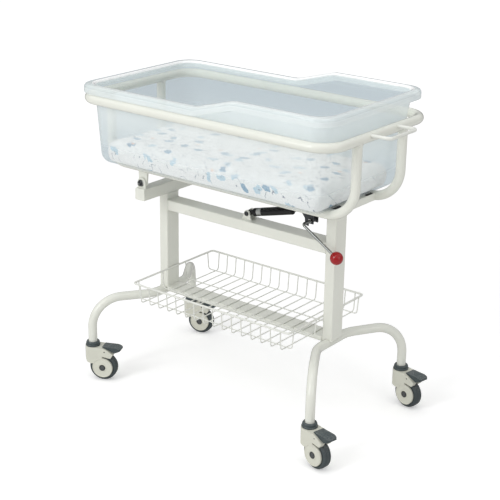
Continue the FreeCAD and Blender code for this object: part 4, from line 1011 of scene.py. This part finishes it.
class BASSINET_OT_cradle(bpy.types.Operator):
    """Cradle ring, U-tubes, cross members, hinge lugs and push handle, with their welds"""
    bl_idname = "bassinet.cradle"
    bl_label = "Cradle"

    def execute(self, context):
        sizes = context.scene.bassinet_sizes
        tube = sizes.tube_radius * 1000
        weld = sizes.weld_radius * 1000
        soft = sizes.edge_round * 1000
        coat = finishes("powder_coat")
        bm = bmesh.new()
        ring = loop_path(rectangle(-RING_X, RING_X, -RING_Y, RING_Y, RING_Z), 60, 20)
        sweep(bm, ring, tube, 36, True)
        add_piece("cradle_ring_tube", bm, coat, "cradle", ["cradle_ring"])
        for name, side in (("front", -1), ("back", 1)):
            y = side * U_Y
            points = [(-RING_X, y, RING_Z - 4), (-RING_X, y, U_Z), (RING_X, y, U_Z), (RING_X, y, RING_Z - 4)]
            bm = bmesh.new()
            sweep(bm, bent_path(points, [48, 82], 20), tube, 32)
            add_piece(name + "_under_tube", bm, coat, "cradle", [name + "_u_tube"])
        bm = bmesh.new()
        handle = [(RING_X, -60, 830.5), (468, -60, 830.5), (468, 60, 830.5), (RING_X, 60, 830.5)]
        sweep(bm, bent_path(handle, [12, 12], 12), sizes.handle_radius * 1000, 20)
        add_piece("push_handle", bm, finishes("wire_coat"), "cradle", ["handle_rod"])
        for node in ("head_cross_member", "spring_cross_bar", "cradle_hinge_lugs"):
            coated(node + "_coated", node, "cradle", soft)
        bm = bmesh.new()
        for x in (-RING_X, RING_X):
            for side in (-1, 1):
                tee_bead(bm, x, side, weld)
        for side in (-1, 1):
            circle = [Vector((RING_X + 10.6, side * 60 + 5 * math.cos(k / 3), 830.5 + 5 * math.sin(k / 3)))
                      for k in range(19)]
            bead(bm, circle, weld * 0.7)
        add_piece("cradle_welds", bm, coat, "cradle", sharp=60)
        # black strips on the cross member under the tub
        pads = from_frame("tub_rest_pads", 0.6, 2)
        add_piece("tub_rest_strips", pads, finishes("black_rubber", "black_rubber"), "cradle",
                  ["tub_rest_pads"], weighted=True)
        return {"FINISHED"}


# ---- gas spring and release ---------------------------------------------------------------------
SPRING_LOW = Vector((3.6, 0, 531.5))
SPRING_HIGH = Vector((200, 0, 582.5))


class BASSINET_OT_gas_spring(bpy.types.Operator):
    """Locking gas spring with its pins"""
    bl_idname = "bassinet.gas_spring"
    bl_label = "Gas spring"

    def execute(self, context):
        axis = (SPRING_HIGH - SPRING_LOW).normalized()
        reach = (SPRING_HIGH - SPRING_LOW).length
        stand = along(SPRING_LOW, axis)
        bm = bmesh.new()
        outside = [(0, 15), (7, 15), (11.5, 19), (11.5, 30), (11.2, 30.5), (11.2, 46), (11.5, 46.5), (11.5, 140),
                   (10.9, 141), (10.9, 142.6), (11.5, 143.6), (11.5, 148), (7, 152), (4.4, 152), (4.4, 146), (0, 146)]
        body = turned(bm, round_profile(outside, 1.6, 3), stand, 56)
        for face in body:
            height = (stand.inverted() @ face.calc_center_median()).z
            face.material_index = 1 if 30.6 < height < 46.2 else 0
        turned(bm, round_profile([(0, 2), (6.5, 2), (6.5, 16), (0, 16)], 1.0, 2), stand, 32)
        tang = [(3.1, -7), (7.4, -7), (8, -6.2), (8, 6.2), (7.4, 7), (3.1, 7)]
        turned(bm, tang, along(SPRING_LOW, (0, 1, 0)), 40, True)
        add_piece("gas_spring_cylinder", bm, finishes("black_enamel", "bare_steel"), "spring_cylinder",
                  ["gas_cylinder"])
        bm = bmesh.new()
        rod = [(0, 84), (4, 84), (4, reach - 12), (5.5, reach - 12), (6, reach - 14), (6, reach - 9.5), (0, reach - 9.5)]
        turned(bm, rod, stand, 32)
        eye = [(7.5, -6), (10.3, -6), (11, -5.3), (11, 5.3), (10.3, 6), (7.5, 6)]
        turned(bm, eye, along(SPRING_HIGH, (0, 1, 0)), 44, True)
        add_piece("gas_spring_rod", bm, finishes("bright_steel"), "spring_rod", ["gas_rod"])
        bm = bmesh.new()
        for side in (-1, 1):
            rivet = [(3, 12.6), (3, 13.2), (6.3, 13.2), (6.5, 13.6), (6.4, 15.2), (5.2, 16.6), (3.4, 17), (3.0, 16.4),
                     (1.4, 16.2), (0, 16.2)]
            turned(bm, rivet, along(SPRING_LOW, (0, side, 0)), 36)
        shank = [(0, -13), (3, -13), (3, 13), (0, 13)]
        turned(bm, shank, along(SPRING_LOW, (0, 1, 0)), 28)
        add_piece("gas_spring_lower_pin", bm, finishes("dark_steel"), "base", ["spring_pivot_pin"])
        bm = bmesh.new()
        for side in (-1, 1):
            head = [(3, 11.8), (5.4, 12), (5.5, 12.4), (5.2, 13.9), (4.2, 14.5), (0, 14.5)]
            turned(bm, head, along(SPRING_HIGH, (0, side, 0)), 32)
        turned(bm, [(0, -12), (3, -12), (3, 12), (0, 12)], along(SPRING_HIGH, (0, 1, 0)), 28)
        add_piece("gas_spring_upper_pin", bm, finishes("bright_steel"), "cradle", ["spring_upper_pin"])
        return {"FINISHED"}


class BASSINET_OT_release(bpy.types.Operator):
    """Release bracket, lever and ball knob"""
    bl_idname = "bassinet.release"
    bl_label = "Release lever"

    def execute(self, context):
        sizes = context.scene.bassinet_sizes
        pair = ("dark_steel", "dark_steel_edge")
        coated("release_bracket_plate", "release_bracket", "cradle", 0.6, pair)
        coated("release_cam_finger", "release_cam", "release_lever", 0.5, pair)
        elbow = Vector((212.5, -47, 557.5))
        knob = Vector((321, -47, 490.5))
        reach = (knob - elbow).normalized()
        bm = bmesh.new()
        sweep(bm, bent_path([(212.5, 15, 557.5), elbow, knob - reach * 4], [9], 14), sizes.lever_radius * 1000, 28)
        turned(bm, [(3.5, 11.2), (6.2, 11.4), (6.4, 12), (6.4, 13.6), (5.9, 14.2), (3.5, 14.4)],
               along((212.5, -27.5, 557.5), (0, 1, 0)), 6, True)
        add_piece("release_lever_rod", bm, finishes("bright_steel"), "release_lever", ["lever_rod"])
        radius = sizes.knob_radius * 1000
        start = math.asin(6.2 / radius)
        profile = [(3.6, -radius + 3), (3.6, -radius * math.cos(start) - 0.35), (5.4, -radius * math.cos(start) - 0.3)]
        for i in range(25):
            a = start + (math.pi - start) * i / 24
            profile.append((radius * math.sin(a), -radius * math.cos(a)))
        profile[-1] = (0, radius)
        bm = bmesh.new()
        turned(bm, profile, along(knob, reach), 48)
        add_piece("release_ball_knob", bm, finishes("red_knob"), "release_lever", ["lever_knob"])
        return {"FINISHED"}


# ---- tub ----------------------------------------------------------------------------------------
def rim_height(x):
    """The rim is low at the foot end and steps up along a short slope."""
    t = (x - STEP_X0) / (STEP_X1 - STEP_X0)
    soft = 0.05

    def climb(s):
        return (s + math.sqrt(s * s + soft * soft)) / 2

    share = (climb(t) - climb(t - 1)) / (1 + 0.25 * soft * soft)
    return LOW_RIM + (HIGH_RIM - LOW_RIM) * min(1.0, max(0.0, share))


def tub_stations():
    """Places round the tub: corner angles, fixed X along the sides, shares of Y along the ends."""
    xs = [-330, -270, -210, -150, -95, -55, -30, -18, -12, -8, -5, -2, 2, 8, 16, 30, 45, 60, 75, 90, 100, 107, 112,
          117, 121, 126, 134, 150, 190, 240, 290, 312]
    shares = [-0.75, -0.5, -0.25, 0, 0.25, 0.5, 0.75]
    stations = []
    for sign_x, sign_y, start in ((1, -1, -90), (1, 1, 0), (-1, 1, 90), (-1, -1, 180)):
        stations += [("corner", sign_x, sign_y, math.radians(start + 90 * i / 14)) for i in range(15)]
        if (sign_x, sign_y) == (1, -1):
            stations += [("end", 1, share, 0) for share in shares]
        elif (sign_x, sign_y) == (1, 1):
            stations += [("side", 1, x, 0) for x in reversed(xs)]
        elif (sign_x, sign_y) == (-1, 1):
            stations += [("end", -1, share, 0) for share in reversed(shares)]
        else:
            stations += [("side", -1, x, 0) for x in xs]
    return stations


def on_outline(station, x0, x1, half_y, corner):
    """Plan point of a station on a round-cornered rectangle."""
    kind, a, b, angle = station
    if kind == "corner":
        centre_x = x1 - corner if a > 0 else x0 + corner
        return (centre_x + corner * math.cos(angle), b * (half_y - corner) + corner * math.sin(angle))
    if kind == "side":
        return (b, a * half_y)
    return (x1 if a > 0 else x0, b * (half_y - corner))


def wall_point(station, z, inset):
    below = LOW_RIM - z
    side = below * 0.115 + inset
    foot = below * 0.02 + inset
    corner = 50 - below * 0.062 - inset
    x, y = on_outline(station, -390.5 + foot, 379 - side, 208 - side, corner)
    return Vector((x, y, z))


def lip_point(station, z):
    x, y = on_outline(station, -412, 400, 227, 52)
    return Vector((x, y, z))


LIP_SECTION = [  # share of the way from the inner wall to the outer edge, and depth under the rim
    (0.00, 8.0), (0.00, 5.0), (0.03, 2.6), (0.09, 1.0), (0.18, 0.2), (0.30, 0.0), (0.50, 0.0), (0.68, 0.3),
    (0.80, 1.0), (0.90, 2.6), (0.97, 5.4), (1.00, 9.0), (1.00, 14.0), (1.00, 20.0), (0.99, 22.8), (0.96, 23.8),
    (0.91, 23.8), (0.88, 22.6), (0.87, 20.0), (0.87, 12.0), (0.85, 7.5), (0.78, 4.6), (0.64, 3.4), (0.48, 3.2),
    (0.34, 3.4), (0.24, 4.6), (0.18, 7.0), (0.15, 10.0),
]


class BASSINET_OT_tub(bpy.types.Operator):
    """Clear moulded tub with a rolled rim and a stepped rim line"""
    bl_idname = "bassinet.tub"
    bl_label = "Tub"

    def execute(self, context):
        wall = context.scene.bassinet_sizes.wall * 1000
        stations = tub_stations()
        bm = bmesh.new()
        rings = []
        kinds = []

        def ring(points, kind):
            rings.append([bm.verts.new(p) for p in points])
            kinds.append(kind)

        inner_r = FLOOR_RADIUS - wall
        for i in range(9):
            a = math.pi / 2 * i / 8
            z = TUB_FLOOR + wall + inner_r * (1 - math.cos(a))
            inset = wall + inner_r * (1 - math.sin(a))
            ring([wall_point(s, z, inset) for s in stations], "inside")
        low = TUB_FLOOR + FLOOR_RADIUS
        for share in (0.15, 0.32, 0.5, 0.68, 0.85, 0.95):
            points = []
            for s in stations:
                top = rim_height(wall_point(s, LOW_RIM, wall).x) - 8
                points.append(wall_point(s, low + (top - low) * share, wall))
            ring(points, "inside")
        for share, depth in LIP_SECTION:
            points = []
            for s in stations:
                outer = lip_point(s, 0)
                inner = wall_point(s, LOW_RIM, wall)
                z = rim_height(inner.x + (outer.x - inner.x) * share) - depth
                inner = wall_point(s, z, wall)
                points.append(Vector((inner.x + (outer.x - inner.x) * share, inner.y + (outer.y - inner.y) * share, z)))
            # the inner rounded top of the rim gets the painted highlight finish
            if share < 0.25 and depth < 6:
                ring(points, "edge")
            else:
                ring(points, "outside" if share > 0.86 and depth > 6 else "lip")
        for share in (0.93, 0.82, 0.66, 0.48, 0.3, 0.14):
            points = []
            for s in stations:
                top = rim_height(wall_point(s, LOW_RIM, 0).x) - 12
                points.append(wall_point(s, low + (top - low) * share, 0))
            ring(points, "outside")
        for i in range(11):
            a = math.pi / 2 * (1 - i / 10)
            z = TUB_FLOOR + FLOOR_RADIUS * (1 - math.cos(a))
            inset = FLOOR_RADIUS * (1 - math.sin(a))
            ring([wall_point(s, z, inset) for s in stations], "outside")
        index = {"inside": 0, "lip": 1, "outside": 2, "edge": 3}
        for i in range(len(rings) - 1):
            for face in skin(bm, rings[i:i + 2]):
                face.material_index = index[kinds[i]]
        floor = bm.faces.new(rings[0])
        floor.material_index = 0
        floor = bm.faces.new(rings[-1][::-1])
        floor.material_index = 2
        add_piece("clear_tub", bm, finishes("tub_inside", "tub_rim", "tub_outside", "tub_rim_painted_highlight"), "tub_body",
                  ["tub", "tub_flange"], sharp=50)
        return {"FINISHED"}


# ---- mattress -----------------------------------------------------------------------------------
BED_X0 = -373.0
BED_X1 = 330.0
BED_Y = 163.0
BED_Z0 = 639.8
BED_Z1 = 691.5
BED_CLEARANCE = 2.5


def mattress_section():
    """Inset from the outline and height, from the bottom's edge up over the side to the top."""
    section = []
    for i in range(7):
        a = math.pi / 2 * i / 6
        section.append((1 + 18 * (1 - math.sin(a)), BED_Z0 + 18 * (1 - math.cos(a))))
    for i in range(7):
        a = math.pi / 2 * i / 6
        section.append((1 + 13 * (1 - math.cos(a)), BED_Z1 - 3 - 13 * (1 - math.sin(a))))
    return section


def inflate(piece, pressure, cap, is_fixed):
    """Swells a closed cloth mesh with its fixed points held, and keeps every move under cap."""
    scene = bpy.context.scene
    rest = [v.co.copy() for v in piece.data.vertices]
    held = piece.vertex_groups.new(name="held")
    held.add([i for i, co in enumerate(rest) if is_fixed(co)], 1.0, "REPLACE")
    cloth = piece.modifiers.new("swell", "CLOTH")
    cloth.settings.quality = 6
    cloth.settings.mass = 0.3
    cloth.settings.use_pressure = True
    cloth.settings.uniform_pressure_force = pressure
    cloth.settings.tension_stiffness = 12
    cloth.settings.compression_stiffness = 12
    cloth.settings.shear_stiffness = 6
    cloth.settings.bending_stiffness = 0.6
    cloth.settings.shrink_min = -0.012
    cloth.settings.vertex_group_mass = "held"
    cloth.settings.effector_weights.gravity = 0
    cloth.collision_settings.use_collision = False
    cloth.point_cache.frame_start = 1
    cloth.point_cache.frame_end = 20
    for number in range(1, 21):
        scene.frame_set(number)
    shape = piece.evaluated_get(bpy.context.evaluated_depsgraph_get()).to_mesh()
    moved = [v.co.copy() for v in shape.vertices]
    piece.modifiers.remove(cloth)
    for vertex, start, end in zip(piece.data.vertices, rest, moved):
        step = end - start
        far = step.length
        if far > 1e-9:
            vertex.co = start + step * (cap * math.tanh(far / cap) / far)
    piece.vertex_groups.clear()
    scene.frame_set(1)


class BASSINET_OT_mattress(bpy.types.Operator):
    """Padded mattress with a printed cover, swollen by a short cloth simulation, with a seam pulled round its side"""
    bl_idname = "bassinet.mattress"
    bl_label = "Mattress"

    def execute(self, context):
        crown = context.scene.bassinet_sizes.crown
        bm = bmesh.new()
        rings = []
        for inset, z in mattress_section():
            corner = 28 - inset
            bed = rectangle(BED_X0 - 6 + inset, BED_X1 + 12 - inset, -BED_Y - 5 + inset, BED_Y + 5 - inset, z)
            path = loop_path(bed, corner, 8)
            rings.append([bm.verts.new(p) for p in path])
        skin(bm, rings)
        bm.faces.new(rings[0][::-1])
        bm.faces.new(rings[-1])
        bm.transform(TO_FRAME)
        bmesh.ops.recalc_face_normals(bm, faces=bm.faces)
        mesh = bpy.data.meshes.new("mattress_pad")
        bm.to_mesh(mesh)
        bm.free()
        pad = bpy.data.objects.new("mattress_pad", mesh)
        context.scene.collection.objects.link(pad)
        remesh = pad.modifiers.new("even", "REMESH")
        remesh.mode = "VOXEL"
        remesh.voxel_size = 0.006
        context.view_layer.update()
        pad.data = bpy.data.meshes.new_from_object(pad.evaluated_get(context.evaluated_depsgraph_get()))
        pad.modifiers.clear()
        inflate(pad, 4.0, crown, lambda co: co.z < BED_Z0 * 0.001 + 0.002)
        self.press_in(pad)
        self.shape_cover(pad)
        pad.data.materials.clear()
        pad.data.materials.append(finishes("printed_cotton")[0])
        pad.data.polygons.foreach_set("use_smooth", [True] * len(pad.data.polygons))
        pad.modifiers.new("smooth", "SUBSURF").render_levels = 1
        pad.modifiers["smooth"].levels = 1
        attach(pad, "mattress_body")
        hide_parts("mattress")
        return {"FINISHED"}

    def press_in(self, pad):
        """Keeps the swollen pad just clear of the tub's walls and of the curve above its floor."""
        wall = bpy.context.scene.bassinet_sizes.wall * 1000
        inner_r = FLOOR_RADIUS - wall
        to_tub = TO_FRAME.inverted()
        for vertex in pad.data.vertices:
            at = to_tub @ vertex.co
            inset = wall + BED_CLEARANCE
            rise = at.z - TUB_FLOOR - wall
            if rise < inner_r:
                inset += inner_r * (1 - math.sin(math.acos(1 - max(rise, 0.0) / inner_r)))
            below = LOW_RIM - at.z
            side = below * 0.115 + inset
            at.x = min(max(at.x, -390.5 + below * 0.02 + inset), 379 - side)
            at.y = min(max(at.y, side - 208), 208 - side)
            vertex.co = TO_FRAME @ at

    def shape_cover(self, pad):
        """Pulls a sewn seam round the side, puckers the cover at it and settles soft dents on top."""
        seam_z = (BED_Z1 - 10) * 0.001
        for vertex in pad.data.vertices:
            co = vertex.co
            normal = vertex.normal.copy()
            near = math.exp(-((co.z - seam_z) / 0.0035) ** 2)
            sideways = math.hypot(normal.x, normal.y)
            pucker = noise.noise(Vector((co.x * 60, co.y * 60, 3.0)))
            vertex.co = co - normal * (near * sideways * (0.0022 + 0.0012 * pucker))
            if normal.z > 0.4:
                dent = noise.noise(Vector((co.x * 9, co.y * 9, 1.0))) * 0.0016
                fine = noise.noise(Vector((co.x * 34, co.y * 22, 5.0))) * 0.0006
                vertex.co.z += (dent + fine) * normal.z


# ---- casters ------------------------------------------------------------------------------------
def at_corner(bm, corner):
    x, y, turn = CASTERS[corner]
    bm.transform(Matrix.Translation((x, y, 0)) @ Matrix.Rotation(math.radians(turn), 4, "Z"))
    return bm


def collar_mesh():
    profile = [
        (0, 75), (7.5, 75), (7.5, 78), (6, 79), (6, 102.3), (19.6, 102.3), (20.6, 102.8), (21, 104), (21, 105.6),
        (20.2, 106.2), (19.4, 107), (19.2, 108.6), (19.6, 110), (19.4, 111.6), (18.6, 113.6), (17.2, 115.4),
        (15.8, 116), (14.2, 115.7), (12.9, 114.6), (12.7, 111), (0, 111),
    ]
    bm = bmesh.new()
    turned(bm, round_profile(profile, 0.8, 2), Matrix.Identity(4), 56)
    return bm


def cap_mesh():
    """Axle with a dished cap at each end, and the pedal's pin."""
    bm = bmesh.new()
    hub = (TRAIL, 0, WHEEL_R)
    turned(bm, [(0, -CHEEK_HALF), (4, -CHEEK_HALF), (4, CHEEK_HALF), (0, CHEEK_HALF)], along(hub, (0, 1, 0)), 32)
    for side in (-1, 1):
        profile = [(9, CHEEK_HALF - 0.5), (9, 18.9), (8.7, 19.3), (8.2, 19.4), (7.2, 19.4), (6.6, 19.1), (6.3, 18.6),
                   (4.6, 18.5), (4.2, 18.9), (3.6, 19.1), (0, 19.15)]
        for face in turned(bm, profile, along(hub, (0, side, 0)), 48):
            middle = face.calc_center_median()
            if math.hypot(middle.x - TRAIL, middle.z - WHEEL_R) < 6.0:
                face.material_index = 1
        pin = [(2, 19), (2.6, 20.3), (2.4, 20.7), (0, 20.9)]
        turned(bm, pin, along((40, 0, 91), (0, side, 0)), 20)
    turned(bm, [(0, -20), (2, -20), (2, 20), (0, 20)], along((40, 0, 91), (0, 1, 0)), 20)
    return bm


def tyre_mesh():
    """Rounded tread with two fine grooves and closed shoulders."""
    half = [(29, 0), (29, 10), (29.5, 11.5), (32, 12.5)]
    for i in range(9):
        a = math.radians(90 * i / 8)
        half.append((34.5 + 5.1 * math.sin(a), 7 + 5.5 * math.cos(a)))
    half += [(39.75, 5.6), (39.2, 5.2), (39.2, 4.8), (39.8, 4.4), (39.95, 2.5), (40, 0)]
    profile = half + [(r, -h) for r, h in reversed(half[1:-1])]
    bm = bmesh.new()
    turned(bm, profile, along((TRAIL, 0, WHEEL_R), (0, 1, 0)), 72, True)
    return bm


def disc_relief(bm):
    """Raised border and boss on the outside of both cheeks."""
    made = []
    for side in (-1, 1):
        border = [(29.5, 17.2), (29.4, 18.2), (28.8, 18.75), (27.4, 18.8), (26.6, 18.4), (26.2, 17.9), (26.2, 17.2)]
        boss = [(13.2, 17.2), (13.0, 18.0), (12.3, 18.5), (10.2, 18.6), (9.5, 18.2), (9.3, 17.2)]
        for profile in (border, boss):
            made += turned(bm, profile, along((TRAIL, 0, WHEEL_R), (0, side, 0)), 72, True)
    return made


def pedal_ribs(bm):
    """Grip ribs on the tread of the pedal, in its lifted place."""
    made = []
    lift = Matrix.Translation((40, 0, 91)) @ Matrix.Rotation(math.radians(-6), 4, "Y") @ Matrix.Translation((-40, 0, -91))
    for u, z, half in ((56, 103.6, 12.5), (62, 102.9, 12.5), (68, 102.2, 12.2), (74, 101.0, 10.5)):
        start = len(bm.verts)
        path = [Vector((u, -half, z - 0.9)), Vector((u, -half + 1.5, z)), Vector((u, half - 1.5, z)),
                Vector((u, half, z - 0.9))]
        sweep(bm, path, 1.0, 10)
        bm.verts.ensure_lookup_table()
        made += bm.verts[start:]
    for vertex in made:
        vertex.co = lift @ vertex.co


class BASSINET_OT_casters(bpy.types.Operator):
    """Four braked swivel casters"""
    bl_idname = "bassinet.casters"
    bl_label = "Casters"

    def execute(self, context):
        for corner in CASTERS:
            self.add_caster(corner)
        return {"FINISHED"}

    def add_caster(self, corner):
        add_piece(corner + "_collar", at_corner(collar_mesh(), corner), finishes("slate_plastic"), "base",
                  [corner + "_caster_stem"])
        housing = from_frame(corner + "_caster_housing", 1.0, 3)
        relief = bmesh.new()
        disc_relief(relief)
        swivel = corner + "_swivel"
        add_piece(corner + "_housing_shell", housing, finishes("caster_cream", "caster_cream_edge"), swivel,
                  [corner + "_caster_housing"], weighted=True)
        add_piece(corner + "_hub_discs", at_corner(relief, corner), finishes("caster_cream"), swivel)
        add_piece(corner + "_hub_caps", at_corner(cap_mesh(), corner), finishes("hub_cap", "hub_cap_face"), swivel,
                  [corner + "_caster_axle"])
        dress(corner + "_wheel_core", finishes("core_grey")[0])
        add_piece(corner + "_tread", at_corner(tyre_mesh(), corner), finishes("tyre_rubber"), corner + "_wheel",
                  [corner + "_tyre"])
        ribs = bmesh.new()
        pedal_ribs(ribs)
        add_piece(corner + "_pedal_ribs", at_corner(ribs, corner), finishes("slate_plastic_edge"), corner + "_pedal")
        pedal = from_frame(corner + "_brake_pedal", 1.0, 3)
        add_piece(corner + "_pedal_shell", pedal, finishes("slate_plastic", "slate_plastic_edge"), corner + "_pedal",
                  [corner + "_brake_pedal"], weighted=True)


# ---- panel and registration ---------------------------------------------------------------------
STEPS = ["stage", "base", "hinge", "basket", "cradle", "gas_spring", "release", "tub", "mattress", "casters"]


class BASSINET_PT_panel(bpy.types.Panel):
    """Lists the pieces in the order they are made"""
    bl_idname = "BASSINET_PT_panel"
    bl_label = "Hospital Bassinet"
    bl_space_type = "VIEW_3D"
    bl_region_type = "UI"
    bl_category = "Bassinet"

    def draw(self, context):
        layout = self.layout
        for step in STEPS:
            layout.operator("bassinet." + step)
        for group in (context.scene.bassinet_sizes, context.scene.bassinet_colours):
            box = layout.box()
            for key in group.__annotations__:
                box.prop(group, key)


CLASSES = (
    BassinetSizes, BassinetColours, BASSINET_OT_stage, BASSINET_OT_base, BASSINET_OT_hinge, BASSINET_OT_basket,
    BASSINET_OT_cradle, BASSINET_OT_gas_spring, BASSINET_OT_release, BASSINET_OT_tub, BASSINET_OT_mattress,
    BASSINET_OT_casters, BASSINET_PT_panel,
)


def register():
    for cls in CLASSES:
        bpy.utils.register_class(cls)
    bpy.types.Scene.bassinet_sizes = bpy.props.PointerProperty(type=BassinetSizes)
    bpy.types.Scene.bassinet_colours = bpy.props.PointerProperty(type=BassinetColours)


def unregister():
    del bpy.types.Scene.bassinet_colours
    del bpy.types.Scene.bassinet_sizes
    for cls in reversed(CLASSES):
        bpy.utils.unregister_class(cls)


def main():
    register()
    for step in STEPS:
        getattr(bpy.ops.bassinet, step)()


if __name__ == "__main__":
    main()
